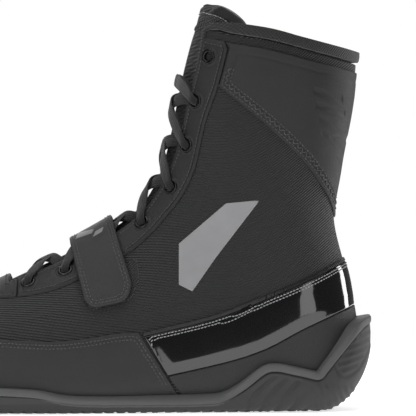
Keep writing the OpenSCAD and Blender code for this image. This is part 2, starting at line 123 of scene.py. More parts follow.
def last_point(t, angle):
    """Point on the outside of the upper: angle 0 is under the foot, 90 the outer side, 180 the front."""
    t, angle = np.broadcast_arrays(np.asarray(t, float), np.asarray(angle, float))
    s = curve(STATIONS, t)
    c, sn = -np.cos(np.radians(angle)), np.sin(np.radians(angle))
    side, e = np.abs(sn), 2 / s[..., 7]
    mid, pinch = s[..., 6], s[..., 8]
    along = np.where(c < 0, mid - (1 + mid) * np.abs(c) ** e, mid + (1 - mid) * c)
    across = np.where(c < 0, side**e, side * (1 - pinch * c * c))
    centre = np.stack([(s[..., 0] + s[..., 2]) / 2, 0 * t, (s[..., 1] + s[..., 3]) / 2], -1)
    arm = np.stack([along * (s[..., 0] - s[..., 2]) / 2, across * np.where(sn < 0, s[..., 5], -s[..., 4]),
                    along * (s[..., 1] - s[..., 3]) / 2], -1)
    shrink = np.clip(1 + t, 0, 1)[..., None]
    return centre + arm * shrink - np.array([1.5, 0, 0]) * (1 - shrink**2)


def last_normal(t, angle):
    along = last_point(np.minimum(19, t + 0.02), angle) - last_point(np.maximum(-1, t - 0.02), angle)
    n = unit(np.cross(along, last_point(t, angle + 2) - last_point(t, angle - 2)))
    lean = 0.8 * (1 - ease(0, 1, np.maximum(t, 0))) + 1.5 * np.clip(-np.asarray(t, float), 0, 1)
    n = n + np.stack([-lean, 0 * lean, 0 * lean], -1)
    return unit(n)


def on_last(t, angle, height):
    return last_point(t, angle) + np.asarray(height)[..., None] * last_normal(t, angle)


def from_front(angle):
    """0 at the front, 180 under the heel, whichever side."""
    return np.abs(np.mod(angle, 360) - 180)


# Depths under the last's surface and heights over it, at a station and an angle
LINING_DEPTH, PADDING, TONGUE_T = 2.7, 4.3, 5.0


def lining_depth(t, angle):
    """The lining, deeper where the collar is padded."""
    return LINING_DEPTH + PADDING * ease(13, 15.5, t) * ease(72, 96, from_front(angle))


def lining_back(t, angle):
    return -lining_depth(t, angle) - LINING


def tongue_face(t, angle):
    """The tongue's outer face, less deep along its middle."""
    return -6.4 + 3.6 * (1 - ease(2, 20, from_front(angle)))


def tongue_middle(t, angle):
    return tongue_face(t, angle) - TONGUE_T / 2


def tongue_back(t, angle):
    return tongue_face(t, angle) - TONGUE_T


def strap_back(t, angle):
    """The strap's inner face, which passes over the lace at the front."""
    return 2.1 + 1.8 * (1 - ease(32, 60, from_front(angle)))


def strap_face(t, angle):
    return strap_back(t, angle) + STRAP_T


def cup_face(t, angle):
    """The cup sole's side, thicker towards the underside."""
    return 4.6 + 4.4 * ease(126, 148, from_front(angle))


# ---- Side-view lines of the boot, as x and z ----
COLLAR_TOP = smooth([[38, 226], [50, 228.4], [66, 225], [87, 221.4], [112, 215], [139, 208], [152, 204]])
SOLE_LINE = smooth([[-150, 20], [-141, 18], [-132, 12.5], [-120, 9.8], [-104, 8], [-86, 7.2], [-38, 7.3],
                    [25, 7.4], [60, 7.4], [95, 7.4], [116, 9], [128, 15], [150, 26]])
EYESTAY_REAR = smooth([[-96, 76], [-88, 69], [-73.5, 67.2], [-48.3, 70.2], [-29.7, 76.2], [1.5, 92.4],
                       [15.9, 103.8], [26.7, 115.8], [36.3, 128.4], [44.1, 145.2], [50.1, 171.6],
                       [57.9, 194.4], [64.5, 221], [67, 232]])
PANEL_EDGE = smooth([[50, 198], [59.1, 192], [85.5, 170.4], [106.5, 150], [117.3, 135.6], [123.9, 124.2],
                     [127.5, 112], [129, 106]])
BAND_TOP = smooth([[12.8, 47.8], [53.7, 57.6], [85.5, 69.6], [109.5, 79.8], [133.5, 91.8], [150, 100]])
BAND_BOTTOM = smooth([[27.4, 22.4], [61.5, 30], [85.5, 37.8], [109.5, 50.4], [138.3, 63], [152, 68]])
BAND_FRONT = np.array([[11.1, 47.4], [36.3, 7.2]])
RAND_TOP = smooth([[-150, 37], [-138, 36.5], [-120, 40], [-98, 43], [-73.5, 43.8], [-41.7, 42.6],
                   [-20.7, 44.4], [-2.1, 47.4], [11.1, 48]])
CUP_TOP = np.concatenate([
    smooth([[-152, 26], [-143, 25], [-132, 20.5], [-112, 17.4], [-90, 16.4], [-73.5, 15.6], [-49.5, 13.8],
            [-33.9, 9.8], [-17.7, 8.4], [20, 8.2], [48, 8.4], [58.5, 9.8], [69.9, 17], [83.1, 27.6],
            [92.1, 29.4], [101.7, 27.6], [116.7, 24]]),
    smooth([[116.7, 24], [126.9, 36.6], [141.9, 53.4], [152, 58]])[1:]])
THROAT_HALF = smooth([[14, 50], [16, 80], [14, 96], [12.5, 112], [13, 133], [15.5, 160], [18.5, 184],
                      [21, 210], [22, 240]])
THROAT_ZONE = np.array([[-67, 50], [-40, 66], [10, 84], [46, 120], [64, 160], [76, 245], [0, 245],
                        [-67, 120]])
VAMP_X, CAP_X = -80, -62
BINDING_H, TRIM_H, SLIT = 6, 2.4, 0.3
# Station and angle of each eyelet, from the toe end up
EYELETS = [[6.4, 147], [7.4, 145], [8.5, 148], [9.9, 150], [11.7, 148], [13.5, 144], [15.1, 138], [16.8, 134]]
EYELET_HOLE_R = 2.6


def raised(line, h):
    return np.asarray(line, float) + [0, h]


def between(lower, upper):
    return np.concatenate([lower, np.asarray(upper)[::-1]])


# ---- Sheets cut from the last's surface: rows of station, angle and distance from the edge ----
def grid(t0, t1, a0, a1, rows=20, step=1.0):
    """Fine net over part of the last, as columns of station and angle, and its triangles.

    Extra angles lie close to 90 and 270, where the surface turns fast.
    """
    t = np.linspace(t0, t1, max(2, int((t1 - t0) * rows)) + 1)
    a = np.linspace(a0, a1, max(2, int((a1 - a0) / step)) + 1)
    tight = np.degrees(np.arccos(np.linspace(0, 0.9, int(22 / step)) ** 2.3))
    extra = np.concatenate([sign * tight + turn for turn in (-360, 0, 360) for sign in (-1, 1)])
    a = np.unique(np.round(np.concatenate([a, extra[(extra > a0) & (extra < a1)]]), 3))
    a = a[np.concatenate([[True], np.diff(a) > 0.04])]
    cols = np.stack(np.meshgrid(t, a, indexing="ij"), -1).reshape(-1, 2)
    i = (np.arange(len(t) - 1)[:, None] * len(a) + np.arange(len(a) - 1)).ravel()
    quads = np.stack([i, i + len(a), i + len(a) + 1, i + 1], -1)
    return cols, np.concatenate([quads[:, [0, 1, 2]], quads[:, [0, 2, 3]]])


def cut(cols, tris, v, drop=True):
    """Splits triangles along v = 0. With drop, only the part above it is left."""
    v = np.where(np.abs(v) < 1e-5, 1e-5, v)
    up = v > 0
    k = up[tris].sum(1)
    mixed = tris[(k == 1) | (k == 2)]
    odd_up = up[mixed].sum(1) == 1
    first = np.argmax(up[mixed] == odd_up[:, None], 1)
    a, b, c = np.take_along_axis(mixed, (first[:, None] + np.arange(3)) % 3, 1).T
    ends = np.sort(np.concatenate([np.stack([a, b], 1), np.stack([a, c], 1)]), 1)
    _, where, back = np.unique(ends[:, 0] * len(cols) + ends[:, 1], return_index=True, return_inverse=True)
    p, q = ends[where].T
    w = (v[p] / (v[p] - v[q]))[:, None]
    new = cols[p] * (1 - w) + cols[q] * w
    ab, ac = len(cols) + back[:len(a)], len(cols) + back[len(a):]
    tip = np.stack([a, ab, ac], 1)
    rest = np.concatenate([np.stack([ab, b, c], 1), np.stack([ab, c, ac], 1)])
    if drop:
        made = np.concatenate([tris[k == 3], tip[odd_up], rest[np.tile(~odd_up, 2)]])
    else:
        made = np.concatenate([tris[(k == 3) | (k == 0)], tip, rest])
    return np.concatenate([cols, new]), made, (ab, ac)


def inside(points, outline):
    """Distance of side-view points from a closed outline, positive inside, and the direction to it."""
    best = np.full(len(points), 1e9)
    way = np.zeros((len(points), 2))
    odd = np.zeros(len(points), bool)
    for p, q in zip(outline, np.roll(outline, -1, 0)):
        d = q - p
        f = np.clip(((points - p) @ d) / max(d @ d, 1e-9), 0, 1)
        r = points - p - f[:, None] * d
        far = np.hypot(r[:, 0], r[:, 1])
        near = far < best
        best[near], way[near] = far[near], r[near]
        if p[1] != q[1]:
            crosses = (p[1] > points[:, 1]) != (q[1] > points[:, 1])
            odd ^= crosses & (points[:, 0] < p[0] + (points[:, 1] - p[1]) * d[0] / d[1])
    return np.where(odd, best, -best), way / np.maximum(best, 1e-6)[:, None]


def on_surface(d, g, n):
    """A distance d along g, lengthened where the surface with normal n leans away from g."""
    return d / np.sqrt(np.clip(1 - np.einsum("ij,ij->i", g, n) ** 2, 0.4, 1))


class Zone:
    """Where a sheet is: its side-view outline, the throat's edge, and limits along x or y."""

    def __init__(self, outline=None, throat=None, side=0, x_from=None, x_to=None, holes=0, extra=None,
                 at=0.0):
        self.outline, self.throat, self.side, self.at = outline, throat, side, at
        self.x_from, self.x_to, self.holes, self.extra = x_from, x_to, holes, extra

    def edge(self, t, a):
        n = last_normal(t, a)
        p = last_point(t, a) + n * np.reshape(self.at(t, a) if callable(self.at) else self.at, (-1, 1))
        flat = p[:, [0, 2]]
        d = np.full(len(p), 60.0)
        if self.outline is not None:
            r, g = inside(flat, self.outline)
            d = np.minimum(d, on_surface(r, np.stack([g[:, 0], 0 * r, g[:, 1]], 1), n))
        if self.throat is not None:
            half = np.interp(p[:, 2], THROAT_HALF[:, 1], THROAT_HALF[:, 0]) + self.throat
            gap = np.abs(p[:, 1]) - half
            gap = on_surface(gap, np.stack([0 * gap, 1 + 0 * gap, 0 * gap], 1), n)
            ahead = inside(flat, THROAT_ZONE)[0]
            d = np.minimum(d, np.maximum(gap, -ahead - self.throat))
        if self.side:
            d = np.minimum(d, p[:, 1] * self.side - 0.05)
        if self.x_from is not None:
            d = np.minimum(d, p[:, 0] - self.x_from)
        if self.x_to is not None:
            d = np.minimum(d, self.x_to - p[:, 0])
        if self.holes:
            for t0, a0 in EYELETS:
                c = last_point(t0, 360 - a0 if self.holes > 0 else a0)
                d = np.minimum(d, np.linalg.norm(p - c, axis=1) - EYELET_HOLE_R - 0.6)
        if self.extra is not None:
            d = np.minimum(d, self.extra(p))
        return d


def mesh_object(name, points, faces, finish, uv=None, sharp=42):
    """A mesh in millimetres becomes an object of the scene, smooth but for its sharp edges."""
    faces = np.asarray(faces)
    used = np.unique(faces)
    order = np.zeros(len(points), int)
    order[used] = np.arange(len(used))
    points, faces = np.asarray(points)[used] * MM, order[faces]
    mesh = bpy.data.meshes.new(name)
    mesh.vertices.add(len(points))
    mesh.vertices.foreach_set("co", points.astype(np.float32).ravel())
    mesh.loops.add(faces.size)
    mesh.loops.foreach_set("vertex_index", faces.astype(np.int32).ravel())
    mesh.polygons.add(len(faces))
    mesh.polygons.foreach_set("loop_start", np.arange(0, faces.size, faces.shape[1], dtype=np.int32))
    mesh.polygons.foreach_set("loop_total", np.full(len(faces), faces.shape[1], np.int32))
    if uv is not None:
        layer = mesh.uv_layers.new(name="Cloth")
        layer.data.foreach_set("uv", np.asarray(uv)[used][faces.ravel()].astype(np.float32).ravel())
    mesh.update(calc_edges=True)
    mesh.validate()
    mesh.shade_smooth()
    mesh.set_sharp_from_angle(angle=math.radians(sharp))
    obj = bpy.data.objects.new(name, mesh)
    bpy.context.scene.collection.objects.link(obj)
    obj.data.materials.append(finish)
    return obj


def closed(outer, inner, tris):
    """Joins a sheet's outer and inner points into one solid with walls round its edges."""
    n = len(outer)
    e = np.concatenate([tris[:, [0, 1]], tris[:, [1, 2]], tris[:, [2, 0]]])
    key = np.sort(e, 1)
    _, back, count = np.unique(key[:, 0] * n + key[:, 1], return_inverse=True, return_counts=True)
    rim = e[count[back] == 1]
    walls = np.concatenate([np.stack([rim[:, 1], rim[:, 0], rim[:, 0] + n], 1),
                            np.stack([rim[:, 1], rim[:, 0] + n, rim[:, 1] + n], 1)])
    return np.concatenate([outer, inner]), np.concatenate([tris, tris[:, ::-1] + n, walls])


def rolled(d, radius=0.9):
    """Share of a sheet's thickness at a distance from its cut edge."""
    f = np.clip(d / radius, 0, 1)
    return 0.35 + 0.65 * np.sqrt(1 - (1 - f) ** 2)


EDGE_CUTS = (0.15, 0.4, 0.9)


def sheet_piece(name, zone, base, thick, finish, span=(-1, 19, 0, 360), cuts=EDGE_CUTS, relief=None, uv=None,
                step=1.0, rows=20, radius=0.9, pillow=0.0, under=None):
    """A closed sheet that lies at a height over the last, inside a zone, with rolled edges."""
    cols, tris = grid(*span, rows=rows, step=step)
    cols = np.column_stack([cols, zone.edge(cols[:, 0], cols[:, 1])])
    cols, tris, _ = cut(cols, tris, cols[:, 2])
    for level in cuts:
        cols, tris, _ = cut(cols, tris, cols[:, 2] - level, drop=False)
    t, a, d = cols.T
    low = base(t, a) if callable(base) else np.full(len(t), float(base))
    height = low + thick * rolled(d, radius)
    if relief is not None:
        height = height + relief(last_point(t, a), d, t, a)
    low = low + pillow * thick * (1 - rolled(d, radius))
    outer = on_last(t, a, height)
    if under is not None:
        outer[:, 2] = under(outer)
    points, faces = closed(outer, on_last(t, a, low), tris[:, ::-1])
    coords = None
    if uv is not None:
        flat = uv(t, a)
        coords = np.concatenate([flat, flat])
    return mesh_object(name, points, faces, finish, coords)


def contour(zone, offset, keep, span=(-1, 19, 0, 360)):
    """Lines at a distance inside a zone's edge, as runs of station and angle."""
    cols, tris = grid(*span, rows=10, step=2)
    d = zone.edge(cols[:, 0], cols[:, 1])
    full, _, (p, q) = cut(cols, tris, d - offset)
    links = {}
    for i, j in zip(p.tolist(), q.tolist()):
        links.setdefault(i, []).append(j)
        links.setdefault(j, []).append(i)
    good = keep(last_point(full[:, 0], full[:, 1]))
    left = {i for i in links if good[i]}
    runs = []
    while left:
        starts = [i for i in left if sum(j in left for j in links[i]) < 2]
        here = starts[0] if starts else next(iter(left))
        run = [here]
        left.discard(here)
        while True:
            onward = [j for j in links[here] if j in left]
            if not onward:
                break
            here = onward[0]
            left.discard(here)
            run.append(here)
        if len(run) > 3:
            runs.append(full[run])
    return runs


def even(points, gap):
    """Places at an even gap along a line of points, as indices with fractions."""
    far = np.concatenate([[0], np.cumsum(np.linalg.norm(np.diff(points, axis=0), axis=1))])
    n = int(far[-1] / gap)
    return np.interp((np.arange(n) + 0.5) * gap, far, np.arange(len(points)))


def along(rows, index):
    k = np.minimum(index.astype(int), len(rows) - 2)
    f = (index - k)[:, None]
    return rows[k] * (1 - f) + rows[k + 1] * f


THREAD = [(math.cos(k * math.tau / 6), math.sin(k * math.tau / 6)) for k in range(6)]
# Rings of one stitch: place along it, width and lift, as shares of its length and radius
STITCH_RINGS = [(-0.5, 0.35, -0.5), (-0.3, 0.95, 0.1), (0, 1, 0.35), (0.3, 0.95, 0.1), (0.5, 0.35, -0.5)]


def stitches(name, zone, offsets, height, finish, keep, pitch=2.3, length=1.75, r=0.34, span=(-1, 19, 0, 360),
             tilt=0.0):
    """Rows of thread stitches sunk a little into the surface, at offsets inside a zone's edge."""
    points, faces, total = [], [], 0
    for offset in offsets:
        for run in contour(zone, offset, keep, span):
            line = last_point(run[:, 0], run[:, 1])
            at = along(run, even(line, pitch))
            if len(at) < 3:
                continue
            h = height(at[:, 0], at[:, 1]) if callable(height) else height
            centre = on_last(at[:, 0], at[:, 1], h + 0 * at[:, 0])
            n = last_normal(at[:, 0], at[:, 1])
            x = unit(np.gradient(centre, axis=0))
            y = unit(np.cross(n, x))
            if tilt:
                swing = tilt * np.where(np.arange(len(at)) % 2, 1, -1)[:, None]
                x = unit(x + swing * y)
                y = unit(np.cross(n, x))
            rings = []
            for s, w, lift in STITCH_RINGS:
                for cy, cz in THREAD:
                    rings.append(centre + x * s * length + y * cy * r * w + n * (cz * r * w + lift * r))
            ring = np.stack(rings, 1).reshape(-1, 3)
            base = total + 30 * np.arange(len(at))[:, None, None]
            quads = np.array([[6 * i + k, 6 * i + (k + 1) % 6, 6 * i + 6 + (k + 1) % 6, 6 * i + 6 + k]
                              for i in range(4) for k in range(6)])
            points.append(ring)
            faces.append((base + quads).reshape(-1, 4))
            total += len(ring)
    return mesh_object(name, np.concatenate(points), np.concatenate(faces), finish, sharp=80)


# ---- Finishes ----
def math_step(operation, flipped=False):
    """A method that adds one Math node to the tree of the value it is called on."""
    def method(value, *others):
        inputs = (*others, value) if flipped else (value, *others)
        return value.finish.value("ShaderNodeMath", {"operation": operation}, dict(enumerate(inputs)))

    return method


class Value:
    """A socket that adds Math nodes as it is used in an expression."""

    def __init__(self, finish, socket):
        self.finish, self.socket = finish, socket

    __add__ = math_step("ADD")
    __radd__ = math_step("ADD", flipped=True)
    __sub__ = math_step("SUBTRACT")
    __rsub__ = math_step("SUBTRACT", flipped=True)
    __mul__ = math_step("MULTIPLY")
    __rmul__ = math_step("MULTIPLY", flipped=True)
    __truediv__ = math_step("DIVIDE")
    __pow__ = math_step("POWER")
    sine = math_step("SINE")
    size = math_step("ABSOLUTE")
    least = math_step("MINIMUM")
    most = math_step("MAXIMUM")
    floor = math_step("FLOOR")
    share = math_step("FRACT")


class Finish:
    """One material, its nodes added by node() and read back as values."""

    def __init__(self, name):
        self.material = bpy.data.materials.new(name)
        self.material.use_nodes = True
        self.tree = self.material.node_tree
        self.shader = self.tree.nodes["Principled BSDF"]

    def node(self, kind, settings=None, sockets=None):
        made = self.tree.nodes.new(kind)
        for key, setting in (settings or {}).items():
            setattr(made, key, setting)
        for key, given in (sockets or {}).items():
            self.feed(made.inputs[key], given)
        return made

    def feed(self, socket, given):
        if isinstance(given, Value):
            given = given.socket
        if isinstance(given, bpy.types.NodeSocket):
            self.tree.links.new(given, socket)
        else:
            socket.default_value = given

    def value(self, kind, settings=None, sockets=None, output=0):
        return Value(self, self.node(kind, settings, sockets).outputs[output])

    def place(self):
        return self.node("ShaderNodeTexCoord").outputs["Object"]

    def grain(self, scale, detail=3.0, rough=0.55, where=None):
        return self.value("ShaderNodeTexNoise", None, {"Vector": where or self.place(), "Scale": scale,
                                                       "Detail": detail, "Roughness": rough})

    def cells(self, scale, feature="DISTANCE_TO_EDGE"):
        return self.value("ShaderNodeTexVoronoi", {"feature": feature},
                          {"Vector": self.place(), "Scale": scale})

    def blend(self, share, low, high):
        mix = self.node("ShaderNodeMix", {"data_type": "RGBA"}, {0: share})
        self.feed(mix.inputs[6], low)
        self.feed(mix.inputs[7], high)
        return mix.outputs[2]

    def bump(self, height, depth, strength=1.0):
        node = self.node("ShaderNodeBump", None, {"Height": height, "Distance": depth, "Strength": strength})
        self.feed(self.shader.inputs["Normal"], node.outputs[0])

    def set(self, **sockets):
        for key, given in sockets.items():
            self.feed(self.shader.inputs[key.replace("_", " ")], given)
        return self.material


def shade(tone, warm=0.0):
    return (tone * (1 + warm), tone, tone * (1 - warm) + tone * 0.03, 1)


def leather(name, tone, rough=0.5, grain=0.00012, scale=900):
    f = Finish(name)
    pores, cloud, fine = f.cells(scale), f.grain(60), f.grain(2600, 2)
    f.bump(pores.least(0.12) * 6 + fine * 0.5, grain)
    f.set(Base_Color=f.blend(cloud, shade(tone * 0.82), shade(tone * 1.2)),
          Roughness=rough - 0.06 + 0.16 * cloud)
    return f.set(Specular_IOR_Level=0.42)


def ribbed_mesh(name, tone):
    """Ribs 1.6 mm apart along the cloth's U, with small pits between them. The colour is painted lighter on
    the rib tops and darker in the grooves and pits: painted highlight and painted shade.
    """
    f = Finish(name)
    uv = f.node("ShaderNodeSeparateXYZ", None, {0: f.node("ShaderNodeUVMap", {"uv_map": "Cloth"}).outputs[0]})
    u, v = Value(f, uv.outputs[0]), Value(f, uv.outputs[1])
    turns = v / 1.62
    rib = ((turns * math.tau).sine() * 0.5 + 0.5) ** 0.7
    odd = (turns - 0.75).floor() * 0.5
    pit = ((u / 2.1 + odd).share() - 0.5).size()
    pit = (1 - pit * 3.4).most(0) * (1 - rib * 2.2).most(0)
    fuzz = f.grain(2200, 3)
    f.bump(rib * 0.8 - pit * 0.9 + fuzz * 0.25, 0.0007)
    # Painted highlight on the rib tops and painted shade in the grooves and pits, mixed into the base colour.
    painted_rib_highlight_and_pit_shade = (rib * 0.85 + 0.15 * fuzz - pit * 0.5).most(0)
    f.set(Base_Color=f.blend(painted_rib_highlight_and_pit_shade, shade(tone * 0.18), shade(tone * 1.25)), Roughness=0.78 + 0.12 * fuzz)
    return f.set(Specular_IOR_Level=0.3, Sheen_Weight=0.25, Sheen_Roughness=0.5)


def patent(name, tone):
    f = Finish(name)
    cloud = f.grain(35, 2)
    f.bump(f.grain(60, 1), 0.00003, 0.25)
    f.set(Base_Color=shade(tone), Roughness=0.07 + 0.05 * cloud)
    return f.set(Coat_Weight=1.0, Coat_Roughness=0.03, Specular_IOR_Level=0.6)


def rubber(name, tone):
    f = Finish(name)
    dust, fine = f.grain(140, 4), f.grain(3200, 2)
    f.bump(fine, 0.00008, 0.6)
    f.set(Base_Color=f.blend(dust, shade(tone * 0.85), shade(tone * 1.15)), Roughness=0.5 + 0.2 * dust)
    return f.set(Specular_IOR_Level=0.4)


def woven(name, tone, across=420, contrast=0.5, depth=0.0003):
    """Plain cloth: crossed threads seen as a fine check."""
    f = Finish(name)
    xyz = f.node("ShaderNodeSeparateXYZ", None, {0: f.place()})
    x, y, z = (Value(f, xyz.outputs[k]) for k in range(3))
    weft = ((z + y * 0.35) * across * math.tau).sine()
    warp = ((x + y * 0.8) * across * math.tau).sine()
    weave, fuzz = weft * warp * 0.5 + 0.5, f.grain(1800, 3)
    f.bump(weave + fuzz * 0.4, depth)
    dark, pale = shade(tone * (1 - contrast)), shade(tone * (1 + contrast))
    f.set(Base_Color=f.blend(weave * 0.7 + fuzz * 0.3, dark, pale), Roughness=0.8 + 0.1 * fuzz)
    return f.set(Specular_IOR_Level=0.25, Sheen_Weight=0.3)


def spun(name, tone, rough=0.6):
    """Thread, cord and tape: fine twisted fibres."""
    f = Finish(name)
    twist = f.node("ShaderNodeTexWave", {"bands_direction": "DIAGONAL"},
                   {"Vector": f.place(), "Scale": 420, "Distortion": 2.5, "Detail": 2}).outputs["Fac"]
    twist = Value(f, twist)
    f.bump(twist + f.grain(2400, 2) * 0.5, 0.0002)
    f.set(Base_Color=f.blend(twist, shade(tone * 0.6), shade(tone * 1.4)), Roughness=rough + 0.1 * twist)
    return f.set(Specular_IOR_Level=0.35, Sheen_Weight=0.2)


def lace_weave(name, tone):
    """Flat woven lace: two sets of slanted threads that meet along the middle."""
    f = Finish(name)
    uv = f.node("ShaderNodeSeparateXYZ", None, {0: f.node("ShaderNodeUVMap", {"uv_map": "Cloth"}).outputs[0]})
    u, v = Value(f, uv.outputs[0]), Value(f, uv.outputs[1])
    slant = ((u + (v - 0.5).size() * 2.6) * (math.tau / 0.85)).sine() * 0.5 + 0.5
    rows = (v * math.tau * 5).sine() * 0.5 + 0.5
    f.bump(slant * 0.7 + rows * 0.4 + f.grain(2600, 2) * 0.3, 0.00035)
    f.set(Base_Color=f.blend(slant * rows, shade(tone * 0.5), shade(tone * 1.6)),
          Roughness=0.75 + 0.1 * slant)
    return f.set(Specular_IOR_Level=0.3, Sheen_Weight=0.3)


def enamel(name, tone):
    """Black coated metal, worn a little thin at random."""
    f = Finish(name)
    wear = f.grain(700, 3)
    f.bump(wear, 0.00003, 0.4)
    f.set(Base_Color=f.blend((wear - 0.55).most(0) * 3, shade(tone), shade(tone * 3)),
          Roughness=0.16 + 0.2 * wear)
    return f.set(Metallic=0.85, Coat_Weight=0.4)


def reflective(name, tone):
    """Glass-bead film on cloth."""
    f = Finish(name)
    beads, cloud = f.cells(2600, "F1"), f.grain(90, 2)
    f.bump(beads, 0.00006, 0.6)
    f.set(Base_Color=f.blend(cloud, shade(tone * 0.9), shade(tone * 1.1)), Roughness=0.42 + 0.1 * beads)
    return f.set(Specular_IOR_Level=0.5)


FINISHES = {}


def finish(name):
    """A finish by name, made when it is first asked for from the scene's tones."""
    if name not in FINISHES:
        tones = bpy.context.scene.boot_tones
        FINISHES[name] = {
            "mesh": lambda: ribbed_mesh("ribbed_mesh", tones.mesh),
            "leather": lambda: leather("matte_leather", tones.leather),
            "rand": lambda: leather("rand_leather", tones.rand, 0.52),
            "strap": lambda: leather("strap_leather", tones.strap, 0.5),
            "trim": lambda: leather("trim_leather", tones.leather, 0.42),
            "patent": lambda: patent("patent_leather", tones.patent),
            "rubber": lambda: rubber("sole_rubber", tones.rubber),
            # Lighter rubber for the sole's top band: a painted highlight along its top edge.
            "bead": lambda: rubber("sole_bead_painted_highlight", tones.bead),
            "tape": lambda: woven("binding_tape", tones.strap, 520, 0.6, 0.0005),
            "lining": lambda: woven("lining_cloth", tones.lining),
            "footbed": lambda: woven("footbed_cloth", tones.lining * 1.2, 300),
            "tongue": lambda: woven("tongue_cloth", tones.tongue, 380, 0.65, 0.0005),
            "board": lambda: woven("lasting_board", 0.3, 200, 0.2),
            "stiffener": lambda: woven("stiffener_sheet", 0.4, 150, 0.15),
            "foam": lambda: rubber("padding_foam", 0.22),
            "midsole": lambda: rubber("sole_foam", 0.03),
            "hook": lambda: woven("hook_tape", 0.012, 700, 0.7, 0.0006),
            "loop": lambda: woven("loop_tape", 0.02, 600, 0.7, 0.0006),
            "thread": lambda: spun("thread", tones.thread),
            "bright_thread": lambda: spun("bright_thread", tones.bright_thread, 0.4),
            "lace": lambda: lace_weave("lace_cord", tones.lace),
            "enamel": lambda: enamel("eyelet_enamel", 0.012),
            "aglet": lambda: patent("aglet_plastic", 0.01),
            "film": lambda: reflective("reflective_film", tones.film),
            "print": lambda: reflective("strap_print", tones.film * 0.75),
        }[name]()
    return FINISHES[name]


# ---- Sizes and tones that a user would change ----
def length_setting(name, description, default, low, high):
    return bpy.props.FloatProperty(name=name, description=description, default=default, min=low, max=high,
                                   precision=4, unit="LENGTH")


def tone_setting(name, description, default):
    return bpy.props.FloatProperty(name=name, description=description, default=default, min=0, max=1,
                                   precision=3, subtype="FACTOR")


class BootSizes(bpy.types.PropertyGroup):
    """Sizes of the details that aren't set by the frame."""

    stitch_pitch: length_setting("Stitch pitch", "Distance from one stitch to the next", 0.0023, 0.001, 0.006)
    lace_width: length_setting("Lace width", "Width of the lace between eyelets", 0.0074, 0.003, 0.009)
    bead_height: length_setting("Sole bead", "How far the sole's top bead stands out", 0.0009, 0, 0.002)
    tread_depth: length_setting("Tread depth", "Depth of the tread grooves", 0.0016, 0.0005, 0.003)


class BootTones(bpy.types.PropertyGroup):
    """Grey levels of the finishes, from 0, black, to 1, white."""

    mesh: tone_setting("Mesh", "Ribbed mesh", 0.022)
    leather: tone_setting("Leather", "Smooth overlays", 0.018)
    rand: tone_setting("Rand", "Toe and heel rands", 0.022)
    strap: tone_setting("Strap", "Strap and binding", 0.028)
    patent: tone_setting("Patent", "Patent heel band", 0.003)
    rubber: tone_setting("Rubber", "Sole", 0.036)
    # This tone paints the sole's top band lighter: a painted highlight along its top edge.
    bead: tone_setting("Bead", "Bead along the sole's top", 0.085)
    lining: tone_setting("Lining", "Lining cloth", 0.02)
    tongue: tone_setting("Tongue", "Tongue cloth", 0.026)
    lace: tone_setting("Lace", "Lace", 0.012)
    thread: tone_setting("Thread", "Dark thread", 0.075)
    bright_thread: tone_setting("Bright thread", "Thread on the patent band", 0.34)
    film: tone_setting("Film", "Reflective film", 0.28)


def settle(obj, slot, *nodes, body="root"):
    """Attaches a finished piece to its body and hides the CAD nodes that it stands for. The slot argument is
    not used.
    """
    if body:
        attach(obj, body)
    if nodes:
        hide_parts(*nodes)
    return obj


def ribs_uv(t, a):
    """Cloth directions in mm: U along the boot, V across its ribs, which turn up towards the heel."""
    p = last_point(t, a)
    rise = np.interp(p[:, 0], *RIB_RISE)
    up = p[:, 2] + np.interp(from_front(a), [0, 60], [14, 0]) * (1 - ease(8, 11, t))
    return np.stack([p[:, 0] + p[:, 2] * 0.25, up - rise], 1)


RIB_X = np.arange(-160, 161, 4.0)
RIB_RISE = (RIB_X, np.cumsum((-0.12 + 0.95 * ease(45, 105, RIB_X)) * 4.0))
SHELL_TOP = np.concatenate([raised(COLLAR_TOP, -1.3)[::-1], [[-20, 240], [-150, 120]]])
UPPER_LINE = np.concatenate([raised(SOLE_LINE, 2.4), SHELL_TOP])
LINING_LINE = np.concatenate([raised(SOLE_LINE, 6.2), SHELL_TOP])
UNDER_TAPE = raised(COLLAR_TOP, -BINDING_H - SLIT)[::-1]
EYESTAY_LINE = np.concatenate([EYESTAY_REAR[EYESTAY_REAR[:, 1] < 217], UNDER_TAPE[UNDER_TAPE[:, 0] < 64],
                               [[-20, 240], [-110, 120]]])
PANEL_LINE = np.concatenate([PANEL_EDGE, [[150, 106]], UNDER_TAPE[UNDER_TAPE[:, 0] > 60],
                             [[64.2, 216], [58.2, 194.4]]])
BAND_LINE = np.concatenate([[BAND_TOP[0] + [0.8, -TRIM_H - 0.2]], BAND_BOTTOM,
                            raised(BAND_TOP, -TRIM_H - 0.1)[::-1]])
HEEL_SOLE = SOLE_LINE[SOLE_LINE[:, 0] > 38]
HEEL_RAND_LINE = np.concatenate([[BAND_FRONT[1] + [SLIT + 0.3, 2.2]], raised(HEEL_SOLE, 2),
                                 raised(BAND_BOTTOM, -SLIT)[::-1]])
TOE_RAND_LINE = np.concatenate([raised(SOLE_LINE[SOLE_LINE[:, 0] < 33], 2), [BAND_FRONT[1] + [-1.6, 2.2]],
                                [BAND_FRONT[0] - [SLIT, 0]], RAND_TOP[::-1]])
LATERAL, MEDIAL = -1, 1
SIDE_NAMES = {LATERAL: "lateral", MEDIAL: "medial"}


class UpperCloth(bpy.types.Operator):
    """Ribbed mesh of both quarters and the vamp"""

    bl_idname = "boot.upper_cloth"
    bl_label = "Upper cloth"

    def execute(self, context):
        for side, name in SIDE_NAMES.items():
            zone = Zone(UPPER_LINE, throat=0, side=side, x_from=VAMP_X + SLIT)
            piece = sheet_piece("upper_" + name, zone, -CLOTH, CLOTH, finish("mesh"), cuts=(), uv=ribs_uv)
            settle(piece, "ribbed_mesh", "quarter_" + name)
        piece = sheet_piece("upper_toe", Zone(UPPER_LINE, x_to=VAMP_X), -CLOTH, CLOTH, finish("mesh"),
                            cuts=(), uv=ribs_uv, span=(-1, 6, 0, 360))
        settle(piece, "ribbed_mesh", "vamp")
        return {"FINISHED"}


